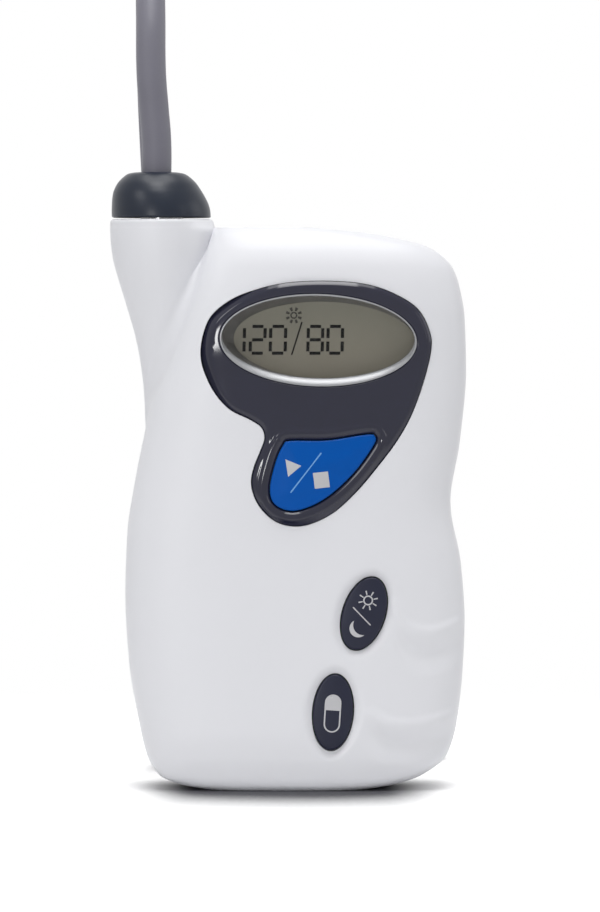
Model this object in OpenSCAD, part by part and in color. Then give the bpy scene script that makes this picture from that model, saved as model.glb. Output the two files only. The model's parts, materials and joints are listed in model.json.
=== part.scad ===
// Monitor that a patient wears to record blood pressure through a day.
// Millimetres. It stands on its base: +Z is up, the display faces -Y, and +X is to the right of it.

/* [Case] */
// Height of the case to its flat top
case_top = 109.6; // [108:0.2:112]
// Thickness of the case wall
wall = 2; // [1.8:0.1:2.2]
// Depth of the case in front of the parting line
front_depth = 15.2; // [15:0.1:15.4]
// Depth of the case behind the parting line
rear_depth = 16; // [15.8:0.1:16.2]
// Squareness of the front half, where 2 would be an ellipse
front_square = 4; // [3.6:0.2:4.6]
// Squareness of the rear half
rear_square = 8; // [7:0.5:9]

/* [Display] */
// Half width of the oval window ring
ring_a = 19.1; // [18.6:0.1:19.4]
// Half height of the oval window ring
ring_b = 8.95; // [8.6:0.05:9.1]
// Thickness of the bezel
bezel_t = 1.6; // [1.4:0.1:1.7]

/* [Buttons] */
// Travel of each button
button_travel = 0.6; // [0.4:0.1:0.6]
// Half length of the two oval buttons
oval_a = 7.5; // [7:0.1:7.6]
// Half width of the two oval buttons
oval_b = 4.1; // [3.8:0.1:4.2]

/* [Hose] */
// Outer diameter of the hose
hose_d = 5.8; // [5.4:0.1:6]
// Inner diameter of the hose end fittings
air_bore_d = 2.6; // [2.2:0.1:2.8]
// Length of the hank's straight runs
hank_run = 48; // [46:1:48]

/* [Batteries] */
// Radius of a cell
cell_r = 7.1; // [7:0.05:7.15]
// Length of a cell with its button
cell_len = 50.5; // [49.5:0.1:50.5]

/* [Hidden] */
$fn = 48;
fit = 0.3;

// Side lines of the case seen from the front, as height and distance from the middle.
right_line = [[0, 16], [1, 21.3], [2.7, 25.8], [6.6, 30.8], [13, 32.6], [24, 33.9], [33, 34.4], [44, 33.6],
    [56, 31.6], [68, 33.6], [82, 34.8], [92, 34.5], [98, 33.5], [101.5, 32.3], [104, 30.2], [106, 27],
    [107.5, 21.4], [108.6, 15], [109.6, 5]];
left_line = [[0, 17], [1, 21.8], [2.7, 25.4], [6.6, 27.7], [14, 29.4], [25, 31.2], [38, 31.9], [50, 31.5],
    [60, 30], [70, 28], [76, 26.6], [86, 23], [97, 19], [105, 16.4], [109.6, 14.8]];
// Share of the full depth that is left near the base and the top.
depth_line = [[0, 0.68], [1, 0.79], [3, 0.9], [6.5, 0.97], [12, 1], [95, 1], [100, 0.98], [103.5, 0.935],
    [106.5, 0.85], [108.5, 0.71], [109.6, 0.56]];
// Neck that carries the hose collar: its outer side and its radius by height.
neck_side = [[70, 28], [76, 28.2], [82, 28.8], [88, 29.9], [94, 31.6], [99, 33.1], [104, 34.3], [109.6, 34.8]];
neck_radius = [[70, 4.5], [76, 5.6], [84, 6.2], [90, 7.2], [96, 8.7], [102, 9.8], [107, 10.1], [109.6, 10.1]];
neck_web = 3;
neck_x = -24.8;
collar_top = 111.3;
dome_top = 120.5;

// Bezel outline, clockwise from its left end.
bezel_line = [[-16.9, 84.8], [-15.5, 91.3], [-11.8, 95], [-6.9, 97.2], [-0.5, 98.7], [6.9, 99.1], [14.3, 98.6],
    [20, 96.9], [25, 93.8], [27.4, 89.3], [27.6, 85.4], [26, 79], [23.7, 72.9], [20.9, 68], [17.6, 63.6],
    [13.5, 58.7], [9.1, 54.6], [5, 52.4], [1.7, 51.7], [-1.7, 52.3], [-4.4, 54.2], [-6.3, 56.9], [-7.1, 60],
    [-6.6, 63], [-5.3, 66.3], [-4.5, 68.7], [-5.1, 70.8], [-7.2, 72.3], [-11.6, 74.6], [-15, 78.9]];
button_line = [[0.4, 68.2], [7.6, 68.3], [15, 69.4], [16.8, 69.1], [16.5, 67.3], [12.5, 61.8], [6.9, 56.9],
    [1.3, 54.7], [-2.5, 55.9], [-3.5, 59.1], [-2.3, 64.4], [-0.9, 67.4]];

window = [5.85, 87.7];
lcd_z = 88;
lcd_size = [38.8, 18.2];
day_night_at = [14.7, 34.5];
event_at = [8.7, 15.2];
start_at = [5, 62];
day_night_tilt = -18;
event_tilt = -4.5;
bezel_round = 210;
bezel_x = 3;
bezel_y = -15.75;
bead = 0.25;
board_y = [-7.8, -6.2];
plunger_r = 1.65;
plunger_y = [-11.7, -9.7];
flange_y = [-12.4, -11.7];

// Case screws and board screws, as X and Z.
case_screws_at = [[20, 6.8], [-10, 4.4], [-10, 104.3], [24.5, 101.8]];
case_boss_y = [-12.3, -12.3, -12.3, -10.8];
board_screws_at = [[-21.5, 16], [24, 16], [24, 66], [-20, 76]];

// Battery bay: X from and to, Z from and to, of the space for the cells.
bay_x = [-21.1, 9.1];
bay_z = [10.2, 65.8];
bay_wall = 1.2;
cell_x = [-13.5, 1.5];
cell_y = 5.4;
door_x = [-23.3, 11.3];
door_z = [8.2, 67.8];
door_y = [14.4, 15.9];
door_travel = 6;

pump_at = [20, 4];
pump_z = [12, 36, 52];
manifold_z = [85, 90.2];
manifold_x = [-25.8, 17];
outlet_at = [14.5, 1];
sensor_x = [-12, -2];
socket_at = [-2, -3.2];
socket_r = 1.8;

// Route of the free hose, from the dome to the hank: up, back over, down behind the neck.
hose_points = [[-25.8, 0, 120.5], [-25.8, 0, 126.5], [-26.3, 0, 133], [-26.8, 0, 139.5], [-27, 3.1, 151],
    [-27.3, 11.5, 159.4], [-27.6, 23, 162.5], [-27.9, 34.5, 159.4], [-28, 42.9, 151], [-27.9, 46, 139.5],
    [-27.3, 44, 126.5], [-26.5, 41.3, 113], [-25.6, 38.5, 99.5], [-24.9, 35.6, 86], [-24.7, 32.8, 73],
    [-24.8, 30, 60], [-25.1, 27, 48], [-25.4, 25, 38.5], [-25.8, 24.8, 29.3], [-26.2, 28.2, 20.6],
    [-26.7, 34.7, 13.8], [-27.1, 42.4, 10.3], [-27.1, 48.6, 9.5], [-26.6, 51.6, 9.5]];

// Hank: its centre, inner fold radius, lane step, heights of its two layers, and how the tie draws it in.
hank_at = [0.8, 73];
hank_inner = 17.4;
hank_step = 6.6;
hank_low = 2.9;
hank_rise = 6.4;
waist_in = 5;
hank_lift = 1.6;
tie_w = 12;
tie_t = 1.2;

// Smooth curve through control values: c is a list of [position, value], t a position.
function rise(c, i) = (c[i + 1][1] - c[i][1]) / (c[i + 1][0] - c[i][0]);
function slope(c, i) =
    i == 0 ? rise(c, 0)
    : i == len(c) - 1 ? rise(c, i - 1)
    : rise(c, i - 1) * rise(c, i) <= 0 ? 0
    : 2 * rise(c, i - 1) * rise(c, i) / (rise(c, i - 1) + rise(c, i));
function span(c, t, i = 0) = i >= len(c) - 2 || t < c[i + 1][0] ? i : span(c, t, i + 1);
function hermite(a, b, ma, mb, w, u) =
    (2 * u * u * u - 3 * u * u + 1) * a + (u * u * u - 2 * u * u + u) * w * ma
    + (3 * u * u - 2 * u * u * u) * b + (u * u * u - u * u) * w * mb;
function along(c, t) =
    let (i = span(c, t), w = c[i + 1][0] - c[i][0])
    hermite(c[i][1], c[i + 1][1], slope(c, i), slope(c, i + 1), w, (t - c[i][0]) / w);

// Closed smooth outline through points, with n steps for each.
function turn(p, i) = p[(i + len(p)) % len(p)];
function closed_line(p, n = 4) =
    [for (i = [0 : len(p) - 1]) for (k = [0 : n - 1])
        hermite(turn(p, i), turn(p, i + 1), (turn(p, i + 1) - turn(p, i - 1)) / 2,
            (turn(p, i + 2) - turn(p, i)) / 2, 1, k / n)];
// The outline moved outwards by d. It runs clockwise, so outwards is to its left.
function moved(p, d) =
    [for (i = [0 : len(p) - 1]) let (v = turn(p, i + 1) - turn(p, i - 1), u = v / norm(v))
        p[i] + d * [-u[1], u[0]]];
function oval(a, b, n = 48) = [for (i = [0 : n - 1]) [a * cos(360 * i / n), b * sin(360 * i / n)]];

// Distance from the case's middle line to its wall, in direction th (180 is left, 270 is front), with the
// wall moved inwards by t.
function reach_body(z, th, t) =
    let (side = cos(th) < 0 ? along(left_line, z) : along(right_line, z), front = sin(th) < 0,
        deep = along(depth_line, z) * (front ? front_depth : rear_depth), n = front ? front_square : rear_square)
    pow(pow(abs(cos(th)) / (side - t), n) + pow(abs(sin(th)) / (deep - t), n), -1 / n);
// The neck is a circle beside the body, and a web of width neck_web fills the corner between them.
function reach_neck(z, th, t, body) =
    let (r = along(neck_radius, z) - t, far = along(neck_side, z) - r - t, off = abs(far * sin(th)),
        touch = sqrt(max(0, far * far - r * r)))
    z < neck_radius[0][0] || cos(th) > 0 ? 0
    : off < r ? -far * cos(th) + sqrt(r * r - off * off)
    : touch < body || off > r + neck_web ? 0
    : touch + (body - touch) * smooth((off - r) / neck_web);
function reach(z, th, t) = let (body = reach_body(z, th, t)) max(body, reach_neck(z, th, t, body));

// Rows of the case go from the base to the top, columns from the left to the right of one half.
case_rows = 30;
case_cols = 26;
function row_z(i) = case_top * (0.75 * (1 - cos(180 * i / case_rows)) / 2 + 0.25 * i / case_rows);
function col_angle(j) = 90 * (1 - cos(180 * j / case_cols)) * 0.6 + 180 * 0.4 * j / case_cols;
// One half of the case wall: front runs 180 to 360 degrees, rear runs 180 back to 0.
function shell_points(front, t) =
    [for (i = [0 : case_rows]) for (j = [0 : case_cols])
        let (z = row_z(i), th = front ? 180 + col_angle(j) : 180 - col_angle(j), r = reach(z, th, t))
        [r * cos(th), j == 0 || j == case_cols ? 0 : r * sin(th), t + z * (1 - 2 * t / case_top)]];
function quads(a, b, c, d, turned) = turned ? [[a, c, b], [a, d, c]] : [[a, b, c], [a, c, d]];

module half_shell(front) {
    n = case_cols + 1;
    m = case_rows + 1;
    inner = n * m;
    base = 2 * n * m;
    points = concat(shell_points(front, 0), shell_points(front, wall),
        [[0, 0, 0], [0, 0, case_top], [0, 0, wall], [0, 0, case_top - wall]]);
    top = (m - 1) * n;
    skin = [for (i = [0 : m - 2]) for (j = [0 : n - 2])
        for (f = quads(i * n + j, i * n + j + 1, (i + 1) * n + j + 1, (i + 1) * n + j, front)) f];
    lining = [for (i = [0 : m - 2]) for (j = [0 : n - 2])
        for (f = quads(inner + i * n + j, inner + i * n + j + 1, inner + (i + 1) * n + j + 1,
            inner + (i + 1) * n + j, !front)) f];
    rim = [for (i = [0 : m - 2]) for (s = [0, n - 1])
        for (f = quads(i * n + s, (i + 1) * n + s, inner + (i + 1) * n + s, inner + i * n + s,
            (s == 0) == front)) f];
    ends = [for (j = [0 : n - 2]) for (f = [
        front ? [base, j + 1, j] : [base, j, j + 1],
        front ? [base + 1, top + j, top + j + 1] : [base + 1, top + j + 1, top + j],
        front ? [base + 2, inner + j, inner + j + 1] : [base + 2, inner + j + 1, inner + j],
        front ? [base + 3, inner + top + j + 1, inner + top + j] : [base + 3, inner + top + j, inner + top + j + 1]
    ]) f];
    lips = [for (s = [0, n - 1]) for (f = concat(
        quads(s, base, base + 2, inner + s, (s == 0) != front),
        quads(top + s, base + 1, base + 3, inner + top + s, (s == 0) == front))) f];
    polyhedron(points, concat(skin, lining, rim, ends, lips), convexity = 8);
}

// A flat shape drawn as X and Z, standing between two depths.
module stand(y0, y1) {
    translate([0, y1, 0]) rotate([90, 0, 0]) linear_extrude(y1 - y0) children();
}
// A round post or hole along Y.
module post(at, r, y0, y1) {
    translate([at[0], y1, at[1]]) rotate([90, 0, 0]) cylinder(h = y1 - y0, r = r);
}
module block(x, y, z) {
    translate([x[0], y[0], z[0]]) cube([x[1] - x[0], y[1] - y[0], z[1] - z[0]]);
}
// A round bar from x[0] to x[1] along X.
module bar(x, y, z, r) {
    translate([x[0], y, z]) rotate([0, 90, 0]) cylinder(h = x[1] - x[0], r = r);
}
module upright(at, r, z0, z1) {
    translate([at[0], at[1], z0]) cylinder(h = z1 - z0, r = r);
}
module bezel_shape(d = 0) {
    polygon(moved(closed_line(bezel_line, 3), d));
}
module button_shape(d = 0) {
    polygon(moved(closed_line(button_line, 4), d));
}
module oval_shape(at, tilt, d = 0) {
    translate(at) rotate(tilt) polygon(oval(oval_b + d, oval_a + d));
}
module window_shape(d = 0) {
    translate(window) rotate(-1.5) polygon(oval(ring_a + d, ring_b + d));
}
// Space in front of the bezel's curved back, or any surface parallel to it.
module before_bezel(depth) {
    translate([bezel_x, bezel_y + bezel_round, 40]) cylinder(h = 70, r = bezel_round - depth, $fn = 480);
}
module collar_solid(front) {
    difference() {
        upright([neck_x, 0], 10.1, 103, collar_top);
        translate([-60, front ? 0 : -60, 90]) cube([80, 60, 40]);
    }
}
// The hose port's seat in the neck, cut from both halves.
module port_seat() {
    upright([neck_x, 0], 7, 99, collar_top + 1);
    upright([neck_x, 0], 7.8, 100.9, 102.7);
}
module socket_hole() {
    block([socket_at[0] - 3.7, socket_at[0] + 3.7], [socket_at[1] - 3.2, 0.01], [case_top - 4, case_top + 1]);
}

module front_shell() {
    color("whitesmoke") difference() {
        union() {
            half_shell(true);
            collar_solid(true);
            for (k = [0 : 3]) post(case_screws_at[k], 2.6, case_boss_y[k], 0);
            for (p = board_screws_at) post(p, 2.2, -12.4, board_y[0]);
        }
        for (p = case_screws_at) post(p, 1.3, -9.5, 1);
        for (p = board_screws_at) post(p, 0.85, -11.5, board_y[0] + 1);
        // seat of the bezel, then the opening behind it
        difference() {
            stand(-20, -8) bezel_shape(0.15);
            before_bezel(bezel_t);
        }
        stand(-18, -6) bezel_shape(-1.3);
        stand(-18, -6) oval_shape(day_night_at, day_night_tilt, fit);
        stand(-18, -6) oval_shape(event_at, event_tilt, fit);
        port_seat();
        socket_hole();
    }
}

module rear_shell() {
    color("whitesmoke") difference() {
        union() {
            half_shell(false);
            collar_solid(false);
            for (p = case_screws_at) post(p, 2.6, 0, 13.2);
            block([door_x[0] - 1, door_x[1] + 1], [12.6, 14.1], [door_z[0] - 0.7, door_z[1] + 0.7]);
        }
        for (p = case_screws_at) {
            post(p, 1.5, -1, 8);
            post(p, 2.3, 7, 18);
        }
        block(bay_x, [10, 18], bay_z);
        block([door_x[0] - fit, door_x[1] + fit], [14.1, 18], [-1, door_z[1] + fit]);
        block([-10.4, -1.6], [14.1, 15.3], [door_z[1] - 1, door_z[1] + 3]);
        block([-12.2, 22.2], [15.6, 18], [75.8, 98.2]);
        port_seat();
    }
}

module display_bezel() {
    color("#343845") difference() {
        union() {
            intersection() {
                stand(-20, -10) bezel_shape();
                before_bezel(0);
            }
            intersection() {
                stand(-20, -10) difference() {
                    bezel_shape();
                    bezel_shape(-1.2);
                }
                before_bezel(-bead);
            }
        }
        before_bezel(bezel_t);
        stand(-20, -8) window_shape(0.05);
        stand(-20, -8) button_shape(fit);
    }
}

module window_ring() {
    color("gainsboro") difference() {
        stand(-15.4, -12.9) window_shape();
        stand(-16, -14.2) window_shape(-1.1);
        stand(-14.7, -12) window_shape(-0.7);
        stand(-15.8, -15.1) window_shape(-0.6);
    }
}

module display_lens() {
    color("#b9bdb4") stand(-14.6, -13.2) window_shape(-0.75);
}

module lcd_box(x, z, y0, y1) {
    block([window[0] - x / 2, window[0] + x / 2], [y0, y1], [lcd_z - z / 2, lcd_z + z / 2]);
}

module lcd_panel() {
    color("#7d7b6e") lcd_box(lcd_size[0], lcd_size[1], -10.6, -8.6);
}

module lcd_holder() {
    color("white") difference() {
        lcd_box(lcd_size[0] + 2.4, lcd_size[1] + 2.4, -9.9, board_y[0]);
        lcd_box(lcd_size[0] + 0.2, lcd_size[1] + 0.2, -11, board_y[0] + 1);
    }
}

module lcd_contact_strips() {
    color("dimgray") for (s = [-1, 1])
        block([window[0] - 17, window[0] + 17], [-8.6, board_y[0]], [lcd_z + s * 7.6 - 1, lcd_z + s * 7.6 + 1]);
}

module main_board() {
    color("darkgreen") difference() {
        stand(board_y[0], board_y[1]) polygon([[-25, 10.5], [24, 10.5], [27, 14], [27, 93], [20, 100.5],
            [-13.5, 100.5], [-22.5, 74], [-25, 62]]);
        for (p = board_screws_at) post(p, 1.1, board_y[0] - 1, board_y[1] + 1);
    }
}

module board_chips() {
    color("#202020") {
        block([-13, -3], [board_y[1], board_y[1] + 1.2], [24, 34]);
        block([-12, -4], [board_y[1], board_y[1] + 1], [44, 50]);
        block([2, 7], [board_y[1], board_y[1] + 1.5], [18, 24]);
        block([3, 8], [board_y[1], board_y[1] + 1.5], [38, 42]);
    }
}

module backup_cell() {
    color("silver") post([14, 73], 6.2, board_y[1], board_y[1] + 2.1);
}

module buzzer() {
    color("#181818") difference() {
        post([2, 74], 4.5, board_y[1], board_y[1] + 3.5);
        post([2, 74], 0.8, board_y[1] + 2.5, board_y[1] + 4);
    }
}

module data_socket() {
    color("#202020") difference() {
        block([socket_at[0] - 3.5, socket_at[0] + 3.5], [socket_at[1] - 3, socket_at[1] + 3.2],
            [95.5, case_top - 0.2]);
        upright(socket_at, socket_r, 97, case_top + 1);
    }
}

module switch_body(at) {
    difference() {
        block([at[0] - 3, at[0] + 3], [-10.8, board_y[0]], [at[1] - 3, at[1] + 3]);
        post(at, plunger_r + 0.1, -11, -8.8);
    }
}

module tactile_switches() {
    color("#303030") for (at = [start_at, day_night_at, event_at]) switch_body(at);
}

module plunger(at) {
    color("ivory") post(at, plunger_r, plunger_y[0], plunger_y[1]);
}

module start_plunger() {
    plunger(start_at);
}

module day_night_plunger() {
    plunger(day_night_at);
}

module event_plunger() {
    plunger(event_at);
}

module start_stop_button() {
    color("#0052ad") {
        difference() {
            stand(-15.9, -12.9) button_shape();
            difference() {
                block([-20, 40], [-25, -10], [45, 80]);
                before_bezel(-0.1);
            }
        }
        stand(-13.2, flange_y[1]) button_shape(0.9);
    }
}

module oval_button(at, tilt) {
    stand(-15.2, flange_y[0]) oval_shape(at, tilt, -0.15);
    stand(flange_y[0], flange_y[1]) oval_shape(at, tilt, 0.9);
}

module day_night_button() {
    color("#2b2f42") oval_button(day_night_at, day_night_tilt);
}

module event_button() {
    color("#2b2f42") oval_button(event_at, event_tilt);
}

module pressure_sensors() {
    color("#282828") for (x = sensor_x) {
        block([x - 4, x + 4], [board_y[1], board_y[1] + 2.6], [83.6, 91.6]);
        post([x, 87.6], 1, board_y[1] + 2, -2.6);
    }
}

module air_manifold() {
    color("lightgray") difference() {
        union() {
            block(manifold_x, [-2.6, 2.6], manifold_z);
            upright([neck_x, 0], 1.6, manifold_z[1] - 1, 96);
            upright(outlet_at, 1.6, 79, manifold_z[0] + 1);
        }
        bar([manifold_x[0] + 1, manifold_x[1] + 1], 0, 87.6, 1.1);
        upright([neck_x, 0], 0.9, 87.6, 97);
        upright(outlet_at, 0.9, 78, 87.6);
        for (x = sensor_x) post([x, 87.6], 0.9, -4, 0);
    }
}

module bleed_valve() {
    color("#303438") {
        block([18.6, 28.4], [-4.4, 6.6], [80, 94.5]);
        bar([manifold_x[1], 19], 0, 87.6, 1.6);
    }
}

module pump_motor() {
    color("silver") difference() {
        upright(pump_at, 8.8, pump_z[0], pump_z[1]);
        upright(pump_at, 1.05, 28, pump_z[1] + 1);
    }
}

module pump_shaft() {
    color("#9a9a9a") {
        upright(pump_at, 1, 29, 42.5);
        upright([pump_at[0] + 1.2, pump_at[1]], 3.2, 38, 41);
    }
}

module pump_head() {
    color("#252525") difference() {
        union() {
            upright(pump_at, 9, pump_z[1], pump_z[2]);
            upright(outlet_at, 1.6, pump_z[2] - 1, 58);
        }
        upright(pump_at, 6, pump_z[1] - 1, 44);
        upright(outlet_at, 0.9, 46, 59);
    }
}

module pump_foot() {
    color("#404040") upright(pump_at, 8, 10, pump_z[0]);
}

module sleeve(at, z0, z1) {
    difference() {
        upright(at, 2.4, z0, z1);
        upright(at, 1.6, z0 - 1, z1 + 1);
    }
}

module pump_tube() {
    color("gainsboro") sleeve(outlet_at, pump_z[2], manifold_z[0]);
}

module port_tube() {
    color("gainsboro") sleeve([neck_x, 0], manifold_z[1], 99.2);
}

module hose_port() {
    color("#8c9097") difference() {
        union() {
            upright([neck_x, 0], 6.95, 99.2, 110.3);
            upright([neck_x, 0], 7.7, 101, 102.6);
            upright([neck_x, 0], 4.2, 110, 112.8);
            upright([neck_x, 0], 2.3, 112, 116.5);
            upright([neck_x, 0], 1.6, 96.2, 100);
            // bayonet pins
            bar([neck_x - 5, neck_x + 5], 0, 112.1, 0.5);
        }
        upright([neck_x, 0], air_bore_d / 2 - 0.4, 95, 118);
        translate([neck_x, 0, 114.6]) rotate_extrude() translate([2.3, 0]) circle(0.5, $fn = 24);
    }
}

module port_seal() {
    color("#101010") translate([neck_x, 0, 114.6]) rotate_extrude() translate([2.3, 0]) circle(0.5, $fn = 24);
}

// Dome profile: a quarter of a superellipse from the skirt to the flat top.
dome_r = 9.7;
dome_flat = 3.9;
dome_foot = 111.6;
dome_bulge = 0.87;
dome_steps = 14;
dome_end = acos(pow(dome_flat / dome_r, 1 / dome_bulge));
dome_h = (dome_top - dome_foot) / pow(sin(dome_end), dome_bulge);
module hose_coupling() {
    color("#2f3544") translate([neck_x, 0, 0]) difference() {
        rotate_extrude($fn = 64) polygon(concat([[0, dome_foot]],
            [for (i = [0 : dome_steps]) let (a = dome_end * i / dome_steps)
                [dome_r * pow(cos(a), dome_bulge), dome_foot + dome_h * pow(sin(a), dome_bulge)]],
            [[0, dome_top]]));
        translate([0, 0, dome_foot - 1]) cylinder(h = 2.4, r = 5.3);
        translate([0, 0, dome_foot]) cylinder(h = 5.2, r = 2.4);
        translate([0, 0, 113.9]) cylinder(h = 1.4, r = 3);
        translate([0, 0, dome_foot]) cylinder(h = 12, r = air_bore_d / 2);
    }
}

module battery_tray() {
    color("#d8d8d8") difference() {
        block([bay_x[0] - bay_wall, bay_x[1] + bay_wall], [-3.2, 12.6], [bay_z[0] - bay_wall, bay_z[1] + bay_wall]);
        block(bay_x, [-2, 14], bay_z);
    }
}

// A cell with its button, standing at x with its foot at z, or turned over.
module cell(x, z, over) {
    at = [x, cell_y];
    body = over ? [z + 1.3, z + cell_len] : [z, z + cell_len - 1.3];
    tip = over ? [z, z + 2] : [z + cell_len - 2, z + cell_len];
    upright(at, cell_r, body[0], body[1]);
    upright(at, 2.7, tip[0], tip[1]);
}

module battery_left() {
    color("#5a5f68") cell(cell_x[0], bay_z[1] - 0.3 - cell_len, false);
}

module battery_right() {
    color("#5a5f68") cell(cell_x[1], bay_z[0] + 0.3, true);
}

module battery_springs() {
    gap = bay_z[1] - bay_z[0] - cell_len - 0.6;
    color("silver") {
        for (k = [0, 1, 2]) translate([cell_x[0], cell_y, bay_z[0] + 0.3 + gap * k / 3])
            difference() {
                cylinder(h = gap / 3, r = 4.6 - 0.8 * k);
                translate([0, 0, -1]) cylinder(h = gap + 2, r = 2.2);
            }
        for (k = [0, 1, 2]) translate([cell_x[1], cell_y, bay_z[1] - 0.3 - gap * (k + 1) / 3])
            difference() {
                cylinder(h = gap / 3, r = 4.6 - 0.8 * k);
                translate([0, 0, -1]) cylinder(h = gap + 2, r = 2.2);
            }
    }
}

module battery_contacts() {
    color("silver") for (x = cell_x) for (z = [bay_z[0], bay_z[1] - 0.3])
        block([x - 5, x + 5], [cell_y - 5, cell_y + 5], [z, z + 0.3]);
}

module battery_door() {
    color("whitesmoke") difference() {
        union() {
            block(door_x, door_y, door_z);
            block([-10, -2], [door_y[0], 14.95], [door_z[1] - 0.1, door_z[1] + 2.4]);
        }
        for (k = [0 : 4]) block([-13, 1], [door_y[1] - 0.5, 18], [54 + 2.4 * k, 55.2 + 2.4 * k]);
    }
}

module rear_label() {
    color("#c9ccd1") block([-12, 22], [15.6, 15.85], [76, 98]);
}

module case_screws() {
    color("#6a6a6a") for (p = case_screws_at) difference() {
        union() {
            post(p, 1.25, -9, 7);
            post(p, 2.1, 7, 8.6);
        }
        translate([p[0], 9, p[1]]) rotate([90, 0, 0]) cylinder(h = 1.2, r = 1, $fn = 6);
    }
}

module board_screws() {
    color("#9a9a9a") for (p = board_screws_at) {
        post(p, 0.8, -11, board_y[1]);
        post(p, 1.8, board_y[1], board_y[1] + 1);
    }
}

// Hank: t counts loops. It spirals in on the upper layer and, past hank_turn, out on the lower one.
// A loop has 24 parts: a run of 5, a fold of 7, a run of 5 and a fold of 7.
run_parts = 5;
fold_parts = 7;
hank_from = 2 / 24;
hank_turn = (run_parts * 1.5 + fold_parts) / 24 + 1;
hank_to = 3 + (run_parts + fold_parts - 1) / 24;
climb_half = run_parts / 48;
function smooth(u) = u <= 0 ? 0 : u >= 1 ? 1 : u * u * (3 - 2 * u);
function bump(y, half) = abs(y) >= half ? 0 : (1 + cos(180 * y / half)) / 2;
function loop_spot(t, r) =
    let (p = (t % 1) * 24, h = hank_run / 2, a = run_parts, b = a + fold_parts, c = b + run_parts)
    p < a ? [-r, -h + hank_run * p / a]
    : p < b ? [-r * cos(180 * (p - a) / fold_parts), h + r * sin(180 * (p - a) / fold_parts)]
    : p < c ? [r, h - hank_run * (p - b) / run_parts]
    : [r * cos(180 * (p - c) / fold_parts), -h - r * sin(180 * (p - c) / fold_parts)];
function hank_spot(t) =
    let (s = loop_spot(t, hank_inner + hank_step * abs(t - hank_turn)), side = s[0] < 0 ? -1 : 1,
        down = smooth((t - hank_turn + climb_half) / (2 * climb_half)), drawn = bump(s[1], hank_run / 2))
    [hank_at[0] + s[0] - side * waist_in * drawn, hank_at[1] + s[1],
        hank_low + hank_rise * (1 - down) + hank_lift * drawn];

function unit(v) = v / norm(v);
function cross_side(d) = unit(cross(d, abs(d[0]) > 0.9 ? [0, 1, 0] : [1, 0, 0]));
// Rings of n points round a path. Each ring's first point keeps its side from the ring before it.
function side_list(p, n, i = 0, last = undef) =
    i >= len(p) ? []
    : let (d = unit(turn_safe(p, i + 1) - turn_safe(p, i - 1)),
        s = last == undef ? cross_side(d) : unit(last - (last * d) * d))
    concat([s], side_list(p, n, i + 1, s));
function turn_safe(p, i) = p[max(0, min(len(p) - 1, i))];
module tube(p, r, n) {
    s = side_list(p, n);
    m = len(p);
    points = [for (i = [0 : m - 1]) for (k = [0 : n - 1])
        let (d = unit(turn_safe(p, i + 1) - turn_safe(p, i - 1)), w = cross(d, s[i]))
        p[i] + r * (cos(360 * (k + 0.5) / n) * s[i] + sin(360 * (k + 0.5) / n) * w)];
    sides = [for (i = [0 : m - 2]) for (k = [0 : n - 1])
        for (f = [[i * n + k, (i + 1) * n + k, i * n + (k + 1) % n],
            [(i + 1) * n + k, (i + 1) * n + (k + 1) % n, i * n + (k + 1) % n]]) f];
    ends = [for (k = [1 : n - 2]) for (f = [[0, k, k + 1], [(m - 1) * n, (m - 1) * n + k + 1, (m - 1) * n + k]]) f];
    polyhedron(points, concat(sides, ends), convexity = 10);
}

module hose_run() {
    color("#6b6a75") tube(hose_points, hose_d / 2, 10);
}

// The first stretch runs on straight from the free hose. The last one leaves the outer lane below, beside
// the drawn-in runs, and rises to the connector's axis.
connector_at = [29.2, 3.8];
connector_y = 80;
hank_start = [[-26.6, 51.6, 9.5], [-25.6, 57.6, 9.5]];
hank_end = [[29.8, 104, 2.9], [30.8, 98, 3], [30.3, 92, 3.4], [connector_at[0], connector_y + 6, connector_at[1]],
    [connector_at[0], connector_y, connector_at[1]]];
hank_path = concat(hank_start,
    [for (i = [0 : round(24 * (hank_to - hank_from))]) hank_spot(hank_from + i / 24)], hank_end);
module hose_hank() {
    color("#6b6a75") tube(hank_path, hose_d / 2, 6);
}

// Least gap of the hank to itself, on points four times as close as its rings.
fine_path = [for (i = [0 : 96 * (hank_to - hank_from)]) hank_spot(hank_from + i / 96)];
function least(v) = min([for (x = v) x]);
hank_gap = least([for (i = [0 : len(fine_path) - 20]) for (j = [i + 16 : 2 : len(fine_path) - 1])
    norm(fine_path[i] - fine_path[j])]) - hose_d;
function path_length(p) = len(p) < 2 ? 0 : [for (i = [1 : len(p) - 1]) norm(p[i] - p[i - 1])]
    * [for (i = [1 : len(p) - 1]) 1];
echo(hank_gap = hank_gap);
echo(hose_length = path_length(hose_points) + path_length(fine_path)
    + path_length(hank_end));

// Band of the tie: a ring with rounded corners, drawn as X and Z.
tie_x = [-26.7, 25.1];
tie_top = 15.5;
module tie_shape(d) {
    r = 3 - d / 2;
    x = [tie_x[0] + d, tie_x[1] - d];
    z = [d, tie_top - d];
    translate([x[0] + r, z[0]]) square([x[1] - x[0] - 2 * r, z[1] - z[0]]);
    translate([x[0], z[0] + r]) square([x[1] - x[0], z[1] - z[0] - 2 * r]);
    for (a = [x[0] + r, x[1] - r]) for (b = [z[0] + r, z[1] - r]) translate([a, b]) circle(r);
}
module hose_tie() {
    color("#303030") stand(hank_at[1] - tie_w / 2, hank_at[1] + tie_w / 2) difference() {
        tie_shape(0);
        tie_shape(tie_t);
    }
}

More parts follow.
